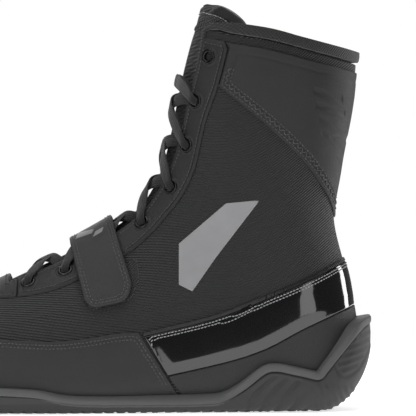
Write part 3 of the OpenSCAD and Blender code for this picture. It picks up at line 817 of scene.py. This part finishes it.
class Linings(bpy.types.Operator):
    """Lining cloth, puffed over the collar padding, and the padding itself"""

    bl_idname = "boot.linings"
    bl_label = "Linings"

    def execute(self, context):
        def puff(p, d, t, a):
            padded = np.clip((lining_depth(t, a) - LINING_DEPTH) / PADDING, 0, 1)
            return -0.9 * padded * np.abs(np.sin(p[:, 2] * math.pi / 26))

        for side, name in SIDE_NAMES.items():
            zone = Zone(LINING_LINE, throat=0, side=side, x_from=VAMP_X + SLIT)
            piece = sheet_piece("inside_" + name, zone, lining_back, LINING, finish("lining"), cuts=(),
                                relief=puff, rows=12, step=2)
            settle(piece, "lining_cloth", "lining_" + name)
        piece = sheet_piece("inside_toe", Zone(LINING_LINE, x_to=VAMP_X), lining_back, LINING,
                            finish("lining"), cuts=(), rows=12, step=2, span=(-0.6, 6, 0, 360))
        settle(piece, "lining_cloth", "lining_vamp")
        pad_line = np.array([[112, 122], [150, 110], [150, 203.5], [139, 206.4], [112, 213.5], [93, 218.2],
                             [90, 190], [96, 150]])
        pad = sheet_piece("collar_padding", Zone(pad_line), lambda t, a: 1.0 - lining_depth(t, a), 0.01,
                          finish("foam"), cuts=(), rows=8, step=3, span=(12, 19, 0, 360),
                          relief=lambda p, d, t, a: (lining_depth(t, a) - LINING_DEPTH) * ease(0, 9, d))
        settle(pad, "padding_foam", "collar_foam")
        return {"FINISHED"}


class Overlays(bpy.types.Operator):
    """Eyestays, throat cap, collar panel and the toe and heel rands"""

    bl_idname = "boot.overlays"
    bl_label = "Overlays"

    def execute(self, context):
        def piped(p, d, t, a):
            rear = np.exp(-((d - 1.5) / 0.55) ** 2) * (np.abs(p[:, 1]) > 17)
            groove = np.exp(-((d - 2.9) / 0.5) ** 2) * (np.abs(p[:, 1]) > 17)
            return 0.45 * rear - 0.25 * groove

        def embossed(p, d, t, a):
            """Four plain bars pressed in near the back, and the puff of the panel between its seams."""
            ramp = np.zeros(len(p))
            for k in range(4):
                x0, z0 = 119.5 + 1.6 * k, 189 - 8.2 * k
                across = np.abs((p[:, 0] - x0) * 0.3 + (p[:, 2] - z0)) / 1.05 - 1.7
                length = np.abs(p[:, 0] - x0 - 2) - 8.5
                ramp = np.maximum(ramp, ease(0.35, -0.35, np.maximum(across, length)))
            puffed = 0.5 * ease(1, 16, d)
            seam = -0.35 * np.exp(-((d - 5.3) / 0.6) ** 2)
            return puffed - 0.45 * ramp + seam

        def creased(p, d, t, a):
            return -0.22 * np.exp(-((d - 2.4) / 0.45) ** 2)

        shared = dict(base=GAP, thick=OVERLAY)
        for side, name in SIDE_NAMES.items():
            zone = Zone(EYESTAY_LINE, throat=0, side=side, x_from=CAP_X + SLIT, holes=side)
            piece = sheet_piece("facing_" + name, zone, finish=finish("leather"), relief=piped,
                                span=(3, 19, 90, 270), step=0.7, rows=26, **shared)
            settle(piece, "matte_leather", "eyestay_" + name)
        cap = sheet_piece("throat_end_cap", Zone(EYESTAY_LINE, throat=0, x_to=CAP_X),
                          finish=finish("leather"), relief=creased, span=(3, 8, 100, 260), step=0.8, **shared)
        settle(cap, "matte_leather", "throat_cap")
        panel = sheet_piece("collar_wrap", Zone(PANEL_LINE), finish=finish("leather"), relief=embossed,
                            span=(10, 19, 0, 360), step=0.8, rows=26, **shared)
        settle(panel, "matte_leather", "collar_panel")
        heel = sheet_piece("heel_rand_wrap", Zone(HEEL_RAND_LINE), finish=finish("rand"),
                           span=(8, 15, 0, 360), step=0.9, **shared)
        settle(heel, "rand_leather", "heel_rand")
        toe = sheet_piece("toe_rand_wrap", Zone(TOE_RAND_LINE), finish=finish("rand"), relief=creased,
                          span=(-1, 11, 0, 360), **shared)
        settle(toe, "rand_leather", "toe_rand")
        return {"FINISHED"}


class HeelBand(bpy.types.Operator):
    """Glossy heel band with its folded top strip"""

    bl_idname = "boot.heel_band"
    bl_label = "Heel band"

    def execute(self, context):
        def soft_face(p, d, t, a):
            return 0.35 * ease(0.5, 7, d)

        band = sheet_piece("patent_band", Zone(BAND_LINE), GAP, OVERLAY - 0.1, finish("patent"),
                           relief=soft_face, span=(8, 16, 0, 360), step=0.8, rows=24)
        settle(band, "patent_leather", "heel_band")
        trim = sheet_piece("patent_band_fold", Zone(between(raised(BAND_TOP, -TRIM_H), BAND_TOP)), GAP,
                           OVERLAY + 0.25, finish("trim"), span=(8, 16, 0, 360), step=0.8, rows=24)
        settle(trim, "trim_leather", "heel_band_trim")
        return {"FINISHED"}


class Outsole(bpy.types.Operator):
    """Rubber cup sole with its bead, side grooves, heel ribs and tread; its top band is painted lighter as a
    painted highlight
    """

    bl_idname = "boot.outsole"
    bl_label = "Outsole"

    def execute(self, context):
        bead_height = context.scene.boot_sizes.bead_height / MM
        tread_depth = context.scene.boot_sizes.tread_depth / MM
        zone = Zone(np.concatenate([[[-160, -60], [160, -60]], CUP_TOP[::-1]]), at=cup_face)

        def groove(v):
            return 0.5 + 0.5 * np.cos(v * math.tau)

        def relief(p, d, t, a):
            x, z = p[:, 0] + 0.03 * p[:, 2], p[:, 2]
            bead = bead_height * np.sqrt(np.clip(1 - ((d - 2.3) / 2.5) ** 2, 0, 1))
            line = -0.9 * np.exp(-((d - 5.3) / 0.4) ** 2)
            wall = ease(6.5, 8.5, d)
            slats = -1.1 * groove((x * 0.75 - z) / 6.5) ** 3 * ease(70, 76, x) * ease(112, 104, x)
            ribs = 0.8 * groove((x + z * 0.4) / 3.3) * ease(112, 114, x) * ease(134, 131, x) * ease(6, 8, z)
            ribs = ribs * ease(20, 18, z)
            oval = np.hypot((x - 133 - (z - 38) * 0.35) / 7.5, (z - 38) / 15)
            inset = -0.9 * ease(1.04, 0.94, oval) + 0.8 * groove(z / 3.6 - x / 9) * ease(0.95, 0.85, oval)
            return bead + line + wall * (slats + ribs) + ease(5.5, 7, d) * inset * ease(16, 22, z)

        def tread(points):
            x, y, z = points.T
            waves = groove((x + 5 * np.cos(y * math.tau / 34)) / 7.2)
            middle = groove(y / 12.5)
            floor = tread_depth * ease(0.62, 0.8, np.maximum(waves, 0.8 * middle * (np.abs(y) < 30)))
            return np.maximum(z, floor)

        sole = sheet_piece("cup_sole", zone, 1.35, 0.01, finish("rubber"), span=(-1, 15, 0, 360), rows=30,
                           relief=lambda p, d, t, a: cup_face(t, a) - 1.36 - 0.9 * (1 - rolled(d, 1.2))
                           + relief(p, d, t, a), under=tread, cuts=(0.4, 1.2, 2.6, 4.6, 5.0, 5.3, 5.7))
        settle(sole, "sole_rubber", "outsole")
        mesh = sole.data
        # Faces within 4.5 mm of the sole's top edge take the lighter rubber: a painted highlight along the
        # top edge.
        mesh.materials.append(finish("bead"))
        co = np.zeros(len(mesh.vertices) * 3, np.float32)
        mesh.vertices.foreach_get("co", co)
        co = co.reshape(-1, 3) / MM
        below = inside(co[:, [0, 2]], zone.outline)[0]
        corners = np.zeros(len(mesh.loops), np.int32)
        mesh.loops.foreach_get("vertex_index", corners)
        index = (below[corners].reshape(-1, 3).mean(1) < 4.5).astype(np.int32)
        mesh.polygons.foreach_set("material_index", index)
        return {"FINISHED"}


def ring_surface(name, rings, look, uv=None):
    """A closed tube through rings of points, capped at both ends."""
    rings = np.asarray(rings)
    n, m = rings.shape[:2]
    i, k = (v.ravel() for v in np.meshgrid(np.arange(n - 1), np.arange(m), indexing="ij"))
    j = (k + 1) % m
    faces = np.stack([i * m + k, (i + 1) * m + k, (i + 1) * m + j, i * m + j], 1)
    faces = np.concatenate([faces[:, [0, 1, 2]], faces[:, [0, 2, 3]]])
    fan = np.array([[0, q, q + 1] for q in range(1, m - 1)])
    faces = np.concatenate([faces, fan, (n - 1) * m + fan[:, ::-1]])
    return mesh_object(name, rings.reshape(-1, 3), faces, look, uv)


class CollarBinding(bpy.types.Operator):
    """Textured tape folded over the top edge and round its front corners"""

    bl_idname = "boot.collar_binding"
    bl_label = "Collar binding"

    def execute(self, context):
        angles = np.linspace(139, -139, 90)
        low, high_t = np.full(90, 14.0), np.full(90, 19.0)
        for _ in range(30):
            mid = (low + high_t) / 2
            p = last_point(mid, angles)
            short = p[:, 2] < np.interp(p[:, 0], COLLAR_TOP[:, 0], COLLAR_TOP[:, 1])
            low, high_t = np.where(short, mid, low), np.where(short, high_t, mid)
        rim = np.stack([low, angles], 1)
        front = [[16.6, 141], [17.1, 141.5], [17.6, 142.5], [17.95, 142.5]]
        path = np.concatenate([front, rim[2:-2], [[t, -a] for t, a in front[::-1]]])
        path = smooth(path, 3)
        t, a = path.T
        q, n = last_point(t, a), last_normal(t, a)
        away = unit(np.cross(unit(np.gradient(q, axis=0)), n))
        ends = ease(0, 26, np.minimum(np.arange(len(t)), np.arange(len(t))[::-1]))
        wide = 2.2 + (BINDING_H - 2.2) * ends
        deep = -lining_back(t, a)
        # Share of the way in to the lining, share of the tape's width, and height there
        section = [(0, 1, 0.1), (0, 1, 1.3), (0, 0.6, 1.62), (0, 0.2, 1.5), (0, 0, 1.0), (0.5, -0.12, 0),
                   (1, 0, -0.6), (1, 0.2, -1.0), (1, 0.6, -1.1), (1, 1, -0.9), (1, 1, 0), (0.6, 0.3, 0),
                   (0.2, 0.3, 0)]
        rings = np.stack([q - away * (drop * wide)[:, None] + n * (h - share * deep)[:, None]
                          for share, drop, h in section], 1)
        settle(ring_surface("collar_tape", rings, finish("tape")), "binding_tape", "collar_binding")
        return {"FINISHED"}


TONGUE_LINE = np.concatenate([
    smooth([[-74, 60], [-60, 64], [-20, 76], [10, 92], [30, 108], [44, 128], [52, 150], [59, 170], [69, 200],
            [77, 224]]),
    smooth([[77, 224], [72, 232.5], [63, 239.5], [54, 242.5], [47, 240], [40, 232], [34, 222]]),
    [[-20, 200], [-74, 110]]])


def bend_tongue(obj):
    """Bakes the tongue piece's transform into its mesh."""
    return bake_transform(obj)


class Tongue(bpy.types.Operator):
    """Padded tongue: quilted cloth, ribbed knit band and a stitched cap"""

    bl_idname = "boot.tongue"
    bl_label = "Tongue"

    def execute(self, context):
        def from_rim(p):
            return inside(p[:, [0, 2]], TONGUE_LINE)[0]

        def top_zone(inner, outer):
            """The band of the free top between two distances from the rim."""
            def limit(p):
                return np.minimum(p[:, 2] - 226, np.minimum(outer - from_rim(p), from_rim(p) - inner))

            return Zone(TONGUE_LINE, at=tongue_middle, extra=limit)

        def quilt(p, d, t, a):
            across = np.abs((a - 180) / 7.5)
            return 0.35 * np.abs(np.cos(across * math.pi / 2)) - 0.5 * np.exp(-((d - 6.6) / 0.7) ** 2)

        pad = sheet_piece("tongue_pad", Zone(TONGUE_LINE, at=tongue_middle), tongue_back, TONGUE_T - 0.1,
                          finish("tongue"), span=(3, 19, 100, 260), cuts=(0.5, 1.5, 3), relief=quilt,
                          radius=4, pillow=0.45, rows=24)
        settle(bend_tongue(pad), "tongue_cloth", "tongue_lower", "tongue_top", body=None)
        cap = sheet_piece("tongue_cap", top_zone(-1, 5.6), lambda t, a: tongue_face(t, a) - 1.9, 0.2,
                          finish("trim"), span=(16, 19, 100, 260), rows=40,
                          relief=lambda p, d, t, a: 2.2 * rolled(from_rim(p), 3.5) - 0.1)
        settle(bend_tongue(cap), "trim_leather", body=None)
        knit = sheet_piece("tongue_knit", top_zone(7.2, 12.5), lambda t, a: tongue_face(t, a) - 0.3, 0.9,
                           finish("tape"), span=(16, 19, 105, 255), rows=40, step=0.5,
                           relief=lambda p, d, t, a: 0.35 * np.abs(np.cos(a * math.pi / 3.0)))
        settle(bend_tongue(knit), "tongue_cloth", body=None)
        return {"FINISHED"}


def round_corner(p, q, r, size):
    """Points of a soft corner at q, between p and r."""
    p, q, r = (np.array(v, float) for v in (p, q, r))
    a, b = q + unit(p - q) * size, q + unit(r - q) * size
    f = np.linspace(0, 1, 7)[:, None]
    return (1 - f) ** 2 * a + 2 * f * (1 - f) * q + f**2 * b


STRAP_TOP_FRONT, STRAP_LOW_FRONT = [[-34.5, 112], [-31.5, 101.4]], [-18.6, 61.6]
STRAP_LOW_REAR, STRAP_TOP_REAR = [4.6, 66.4], [[6.3, 76.8], [-5.7, 113.4], [-8.5, 122]]
STRAP_LINE = np.concatenate([
    STRAP_TOP_FRONT, round_corner([-21.9, 67.2], STRAP_LOW_FRONT, STRAP_LOW_REAR, 6),
    round_corner(STRAP_LOW_FRONT, STRAP_LOW_REAR, STRAP_TOP_REAR[0], 7), STRAP_TOP_REAR])


def bend_strap(obj):
    """Bakes the strap piece's transform into its mesh."""
    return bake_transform(obj)


def strap_zone():
    def base_end(p):
        return np.where(p[:, 1] > 0, p[:, 2] - 73.5 - 0.1 * (p[:, 0] + 27), 60)

    return Zone(STRAP_LINE, at=strap_back, extra=base_end)


class Strap(bpy.types.Operator):
    """Instep strap with stitched edges, plain printed bars and its hook and loop patches"""

    bl_idname = "boot.strap"
    bl_label = "Strap"

    def execute(self, context):
        def face(p, d, t, a):
            seams = np.exp(-((d - 2.1) / 0.35) ** 2) + np.exp(-((d - 3.9) / 0.35) ** 2)
            return -0.18 * seams + 0.12 * ease(4, 9, d)

        strap = sheet_piece("instep_strap", strap_zone(), strap_back, STRAP_T, finish("strap"),
                            span=(5, 11, 60, 290), cuts=(0.15, 0.4, 0.9, 1.6), relief=face, step=0.7, rows=30)
        settle(bend_strap(strap), "strap_leather", "strap", "strap_base", body=None)
        for number, (x0, wide) in enumerate([(-22.5, 5.5), (-14.2, 3.2)]):
            bar = np.array([[x0 - wide, 102.2], [x0 + wide - 1, 104.6 + 0.2 * wide], [x0 + wide, 108.2],
                            [x0 - wide + 1.6, 105.6]]) + [0, 1.4 * number]
            zone = Zone(bar, at=strap_face, extra=lambda p: -p[:, 1])
            piece = sheet_piece("strap_bar_%d" % (number + 1), zone, lambda t, a: strap_face(t, a) + 0.06,
                                0.22, finish("print"), cuts=(0.2,), span=(6, 10, 100, 180), step=0.4, rows=50)
            settle(bend_strap(piece), "reflective_film", body=None)
        hook_line = np.array([[-20, 71], [-16.5, 64.8], [2.2, 69.2], [3.5, 77], [3, 80], [-20, 74.5]])
        hook = sheet_piece("hook_tape", Zone(hook_line, side=LATERAL), lambda t, a: strap_back(t, a) - 0.85,
                           0.8, finish("hook"), span=(6, 10, 60, 130), step=0.6, rows=30,
                           relief=lambda p, d, t, a: 0.1 * np.sin(p[:, 0] * 5) * np.sin(p[:, 2] * 5) - 0.1)
        settle(hook, "hook_tape", "strap_hook_patch", body="strap")
        loop_line = np.array([[-22, 72], [-19, 63], [-16, 61.8], [4, 66.6], [6.5, 69], [10.8, 79], [9.2, 90],
                              [7.5, 91], [1.5, 86.5]])
        loop = sheet_piece("loop_tape", Zone(loop_line, side=LATERAL), GAP, 0.8, finish("loop"),
                           span=(6, 11, 60, 140), step=0.6, rows=30)
        settle(loop, "loop_tape", "strap_loop_patch")
        return {"FINISHED"}


def side_angle(side, angle):
    return 360 - angle if side > 0 else angle


class Eyelets(bpy.types.Operator):
    """Black enamelled eyelets, each with a rolled flange"""

    bl_idname = "boot.eyelets"
    bl_label = "Eyelets"

    def execute(self, context):
        low = -2.7 - LINING
        # Radius and height over the last, from inside the lining out over the flange
        profile = [(2.62, low - 0.8), (3.4, low - 0.75), (3.45, low - 0.2), (3.0, low), (3.0, 1.3),
                   (4.35, 1.32), (4.5, 1.5), (4.46, 1.78), (4.25, 2.02), (3.9, 2.16), (3.5, 2.18),
                   (3.1, 2.05), (2.8, 1.75), (2.64, 1.3), (2.6, 0.6)]
        turn = np.radians(np.arange(0, 360, 9))
        m, k = len(profile), len(turn)
        for side, name in SIDE_NAMES.items():
            points, faces = [], []
            for number, (t, angle) in enumerate(EYELETS):
                angle = side_angle(side, angle)
                c, n = last_point(t, angle), last_normal(t, angle)
                x = unit(np.cross(n, [0, 1, 0.3]))
                y = np.cross(n, x)
                for r, h in profile:
                    points.append(c + np.cos(turn)[:, None] * r * x + np.sin(turn)[:, None] * r * y + h * n)
                base = number * m * k
                faces += [[base + i * k + j, base + i * k + (j + 1) % k, base + (i + 1) % m * k + (j + 1) % k,
                           base + (i + 1) % m * k + j] for i in range(m) for j in range(k)]
            row = mesh_object("eyelet_row_" + name, np.concatenate(points), faces, finish("enamel"), sharp=60)
            settle(row, "eyelet_metal", "eyelets_" + name)
        return {"FINISHED"}


# ---- The lace: the CAD source's route, as station, angle and height ----
LACED, UNDER_H, OVER_H, OUT_H = 7, -4.7, 2.3, 2.9


def lace_pass(k, side, height):
    (t, a), (t2, a2) = EYELETS[k], EYELETS[k + 1]
    d = t2 - t
    return [[t, side_angle(side, a), UNDER_H], [t, side_angle(side, a), OUT_H],
            [t + 0.2 * d, side_angle(side, a + 12), OVER_H], [t + 0.55 * d, 180, height],
            [t2 - 0.1 * d, side_angle(-side, a2 + 11), UNDER_H]]


def lace_half(start):
    height = -0.5 if start < 0 else 1.1
    rows = [row for k in range(LACED - 1) for row in lace_pass(k, start if k % 2 == 0 else -start, height)]
    side = start if LACED % 2 == 1 else -start
    t, a = EYELETS[LACED - 1]
    rows += [[t, side_angle(side, a), UNDER_H], [t, side_angle(side, a), OUT_H],
             [t + 0.15, side_angle(side, a + 13), OVER_H], [t + 0.2, 180, height],
             [t, side_angle(-side, a + 9), UNDER_H], [t - 1, side_angle(-side, a - 8), UNDER_H],
             [t - 2.2, side_angle(-side, a - 2), UNDER_H - 0.1]]
    return rows


LACE_ROUTE = np.array(lace_half(-1)[::-1] + [[EYELETS[0][0] + 0.05, 180, UNDER_H + 1.2]] + lace_half(1))


class Lace(bpy.types.Operator):
    """Flat woven lace through the seven lowest pairs of eyelets, and its tips"""

    bl_idname = "boot.lace"
    bl_label = "Lace"

    def execute(self, context):
        route = smooth(LACE_ROUTE, 7)
        t, a, h = route.T
        line = on_last(t, a, h)
        knots = on_last(*LACE_ROUTE.T)
        for _ in range(2):
            line[1:-1] = 0.5 * line[1:-1] + 0.25 * (line[:-2] + line[2:])
        along_lace = unit(np.gradient(line, axis=0))
        up_boot = unit(last_point(np.minimum(t + 0.1, 19), a) - last_point(t - 0.1, a))
        out = unit(np.cross(along_lace, up_boot))
        wide = np.cross(out, along_lace)
        holes = np.array([last_point(e, side_angle(s, b)) for e, b in EYELETS[:LACED] for s in SIDE_NAMES])
        near = np.linalg.norm(line[:, None] - holes[None], axis=2).min(1)
        width = context.scene.boot_sizes.lace_width / MM * (0.62 + 0.38 * ease(3.5, 11, near)) / 2
        thick = (1.3 + 0.7 * ease(9, 3, near)) / 2
        turn = np.radians(np.arange(0, 360, 15))
        ca, sa = np.cos(turn), np.sin(turn)
        section_w, section_t = np.sign(ca) * np.abs(ca) ** 0.8, np.sign(sa) * np.abs(sa) ** 0.75
        cup = 0.25 * section_w**2
        rings = (line[:, None] + wide[:, None] * (section_w * width[:, None])[..., None]
                 + out[:, None] * ((section_t * thick[:, None]) - cup * 0.6)[..., None])
        length = np.concatenate([[0], np.cumsum(np.linalg.norm(np.diff(line, axis=0), axis=1))])
        coords = np.stack(np.broadcast_arrays(length[:, None], 0.5 + 0.5 * section_w[None]), -1)
        lace = ring_surface("lace_run", rings, finish("lace"), coords.reshape(-1, 2))
        settle(lace, "lace_cord", "lace")
        tips = []
        for end, before in ((knots[0], knots[1]), (knots[-1], knots[-2])):
            way = unit(end - before)
            side = unit(np.cross(way, [1, 0, 0]))
            other = np.cross(way, side)
            rows = [(0.05, 0.9), (0.3, 1.1), (7, 1.08), (14, 1.08), (21, 1.05), (21.8, 0.85), (22, 0.4)]
            tips.append([[end + way * s + (side * c + other * w) * r for c, w in zip(ca, sa)]
                         for s, r in rows])
        for number, rings in enumerate(tips):
            tip = ring_surface("lace_tip_%d" % (number + 1), rings, finish("aglet"))
            settle(tip, "aglet_plastic", *(["aglets"] if number == 0 else []))
        return {"FINISHED"}


class SidePatches(bpy.types.Operator):
    """Plain reflective patch on each side"""

    bl_idname = "boot.side_patches"
    bl_label = "Side patches"

    def execute(self, context):
        patch_line = np.array([[34, 100], [62, 124], [82, 126], [56, 92], [42, 72], [34, 76]])
        for side, name in SIDE_NAMES.items():
            patch = sheet_piece("reflective_" + name, Zone(patch_line, side=side), GAP, 0.3, finish("film"),
                                span=(8, 16, 0, 360), step=0.6, rows=30, cuts=(0.2, 0.5))
            settle(patch, "reflective_film", "side_patch_" + name)
        return {"FINISHED"}


class Stitching(bpy.types.Operator):
    """Thread along the seams of the overlays, band, strap, tongue and collar"""

    bl_idname = "boot.stitching"
    bl_label = "Stitching"

    def execute(self, context):
        pitch = context.scene.boot_sizes.stitch_pitch / MM
        face = GAP + OVERLAY + 0.02

        def below_tape(p):
            return p[:, 2] < 206 - (p[:, 0] - 60) * 0.28

        shared = dict(pitch=pitch, finish=finish("thread"))
        for side, name in SIDE_NAMES.items():
            zone = Zone(EYESTAY_LINE, throat=0, side=side, x_from=CAP_X + SLIT)
            rows = stitches("facing_stitches_" + name, zone, [3.0], face - 0.1, span=(3, 19, 90, 270),
                            keep=lambda p: (np.abs(p[:, 1]) > 2) & (p[:, 0] > CAP_X + 5), **shared)
            settle(rows, "matte_leather")
        cap = stitches("cap_stitches", Zone(EYESTAY_LINE, throat=0), [2.2], face - 0.1, span=(3, 8, 100, 260),
                       keep=lambda p: p[:, 0] < CAP_X - 3, **shared)
        settle(cap, "matte_leather")
        panel = stitches("collar_stitches", Zone(PANEL_LINE), [2.0, 6.2], face, span=(10, 19, 0, 360),
                         keep=below_tape, **shared)
        settle(panel, "matte_leather")
        zigzag = stitches("collar_zigzag", Zone(PANEL_LINE), [4.1], face + 0.1, span=(10, 19, 0, 360),
                          tilt=1.1, length=3.0, keep=below_tape, pitch=1.9,
                          finish=finish("thread"))
        settle(zigzag, "matte_leather")
        toe = stitches("rand_stitches", Zone(TOE_RAND_LINE), [2.4, 4.4], face - 0.12, span=(-1, 11, 0, 360),
                       keep=lambda p: p[:, 2] > 17, **shared)
        settle(toe, "rand_leather")
        band_zone = Zone(between(raised(BAND_TOP, -90), BAND_TOP))
        behind_front = np.concatenate([BAND_FRONT, [[160, 7], [160, 120], [11, 120]]])
        band = stitches("band_stitches", band_zone, [3.6, 5.2], face + 0.05, span=(8, 16, 0, 360),
                        pitch=pitch * 0.9, finish=finish("bright_thread"),
                        keep=lambda p: inside(p[:, [0, 2]], behind_front)[0] > 1.5)
        settle(band, "trim_leather")
        strap = stitches("strap_stitches", strap_zone(), [2.1, 3.9], lambda t, a: strap_face(t, a) - 0.08,
                         span=(5, 11, 60, 290), keep=lambda p: p[:, 2] > 0, **shared)
        settle(bend_strap(strap), "strap_leather", body=None)
        tongue = stitches("tongue_stitches", Zone(TONGUE_LINE, at=tongue_middle), [6.5],
                          lambda t, a: tongue_face(t, a) + 0.15, pitch=2.6, finish=finish("bright_thread"),
                          span=(16, 19, 100, 260), keep=lambda p: p[:, 2] > 229, r=0.35)
        settle(bend_tongue(tongue), "tongue_cloth", body=None)
        return {"FINISHED"}


class InnerParts(bpy.types.Operator):
    """Footbed, and finishes for the stiffeners, the board and the midsole"""

    bl_idname = "boot.inner_parts"
    bl_label = "Inner parts"

    def execute(self, context):
        line = np.concatenate([raised(SOLE_LINE, -20), raised(SOLE_LINE, 5.7)[::-1]])
        footbed = sheet_piece("footbed", Zone(line, at=-4.05), -7.0, 2.9, finish("footbed"),
                              span=(1, 12, -125, 125), cuts=(0.6,), rows=10, step=2)
        settle(footbed, "footbed_cloth", "sockliner")
        for node, look in (("midsole", "midsole"), ("insole_board", "board"), ("heel_counter", "stiffener"),
                           ("toe_puff", "stiffener")):
            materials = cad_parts[node].data.materials
            for k in range(max(1, len(materials))):
                if len(materials):
                    materials[k] = finish(look)
                else:
                    materials.append(finish(look))
        return {"FINISHED"}


def area_light(name, place, aim, size, power):
    light = bpy.data.lights.new(name, "AREA")
    light.shape, light.size, light.size_y, light.energy = "RECTANGLE", size[0], size[1], power
    lamp = bpy.data.objects.new(name, light)
    lamp.location = place
    lamp.rotation_euler = (Vector(aim) - Vector(place)).to_track_quat("-Z", "Y").to_euler()
    bpy.context.scene.collection.objects.link(lamp)


class Stage(bpy.types.Operator):
    """Pale floor, soft lights, sky and the camera"""

    bl_idname = "boot.stage"
    bl_label = "Stage"

    def execute(self, context):
        low, top = CAD_BOX
        middle = (low + top) / 2
        long = top.x - low.x
        bpy.ops.mesh.primitive_plane_add(size=1.5, location=(middle.x, middle.y, 0))
        floor = context.object
        floor.name = "floor"
        pale = Finish("pale_floor")
        cloud = pale.grain(3, 2)
        pale.set(Base_Color=pale.blend(cloud, (0.9, 0.9, 0.9, 1), (0.93, 0.93, 0.93, 1)), Roughness=0.9)
        floor.data.materials.append(pale.set(Emission_Color=(1, 1, 1, 1), Emission_Strength=0.62))
        # Name, place from the boot's middle and floor, width and height in metres, and watts
        lights = [("top_softbox", (-0.1, -0.25, 1.5), (1.6, 1.2), 13),
                  ("front_softbox", (-0.95, -1.35, 0.62), (0.75, 1.0), 7),
                  ("side_card", (0.78, -1.3, 0.4), (0.5, 0.9), 2.2),
                  ("rear_strip", (1.1, 0.55, 0.45), (0.3, 1.1), 6),
                  ("back_softbox", (-0.2, 1.5, 0.9), (1.4, 1.0), 9)]
        for name, (x, y, z), size, power in lights:
            area_light(name, (middle.x + x, y, z), middle, size, power)
        world = bpy.data.worlds.new("studio")
        world.use_nodes = True
        nodes, links = world.node_tree.nodes, world.node_tree.links
        shine = nodes["Background"]
        shine.inputs[0].default_value, shine.inputs[1].default_value = (1, 1, 1, 1), 0.08
        seen = nodes.new("ShaderNodeBackground")
        seen.inputs[0].default_value, seen.inputs[1].default_value = (1, 1, 1, 1), 1.0
        ray, mix = nodes.new("ShaderNodeLightPath"), nodes.new("ShaderNodeMixShader")
        links.new(ray.outputs["Is Camera Ray"], mix.inputs[0])
        links.new(shine.outputs[0], mix.inputs[1])
        links.new(seen.outputs[0], mix.inputs[2])
        links.new(mix.outputs[0], nodes["World Output"].inputs[0])
        context.scene.world = world
        context.scene.view_settings.view_transform = "Standard"
        view_wide, far, tilt = 0.837 * long, 2.4, math.radians(1.2)
        aim = Vector((low.x + 0.674 * long, middle.y, 0.4975 * (top.z - low.z)))
        data = bpy.data.cameras.new("camera")
        camera = bpy.data.objects.new("camera", data)
        data.sensor_width, data.lens = 36, 36 * far / view_wide
        data.clip_start, data.clip_end = 0.05, 50
        camera.location = aim + Vector((0, -far * math.cos(tilt), far * math.sin(tilt)))
        camera.rotation_euler = (math.pi / 2 - tilt, 0, 0)
        context.scene.collection.objects.link(camera)
        context.scene.camera = camera
        return {"FINISHED"}


PIECES = (UpperCloth, Linings, Overlays, HeelBand, Outsole, CollarBinding, Tongue, Strap, Eyelets, Lace,
          SidePatches, Stitching, InnerParts, Stage)


class BootPanel(bpy.types.Panel):
    """Lists the boot's sizes, tones and pieces"""

    bl_idname = "BOOT_PT_panel"
    bl_label = "Boxing boot"
    bl_space_type = "VIEW_3D"
    bl_region_type = "UI"
    bl_category = "Boxing boot"

    def draw(self, context):
        for group in (context.scene.boot_sizes, context.scene.boot_tones):
            for name in type(group).__annotations__:
                self.layout.prop(group, name)
        for piece in PIECES:
            self.layout.operator(piece.bl_idname)


CLASSES = (BootSizes, BootTones, *PIECES, BootPanel)


def register():
    for made in CLASSES:
        bpy.utils.register_class(made)
    bpy.types.Scene.boot_sizes = bpy.props.PointerProperty(type=BootSizes)
    bpy.types.Scene.boot_tones = bpy.props.PointerProperty(type=BootTones)


def unregister():
    del bpy.types.Scene.boot_tones
    del bpy.types.Scene.boot_sizes
    for made in reversed(CLASSES):
        bpy.utils.unregister_class(made)


def main():
    register()
    for piece in PIECES:
        group, name = piece.bl_idname.split(".")
        getattr(getattr(bpy.ops, group), name)()


if __name__ == "__main__":
    main()
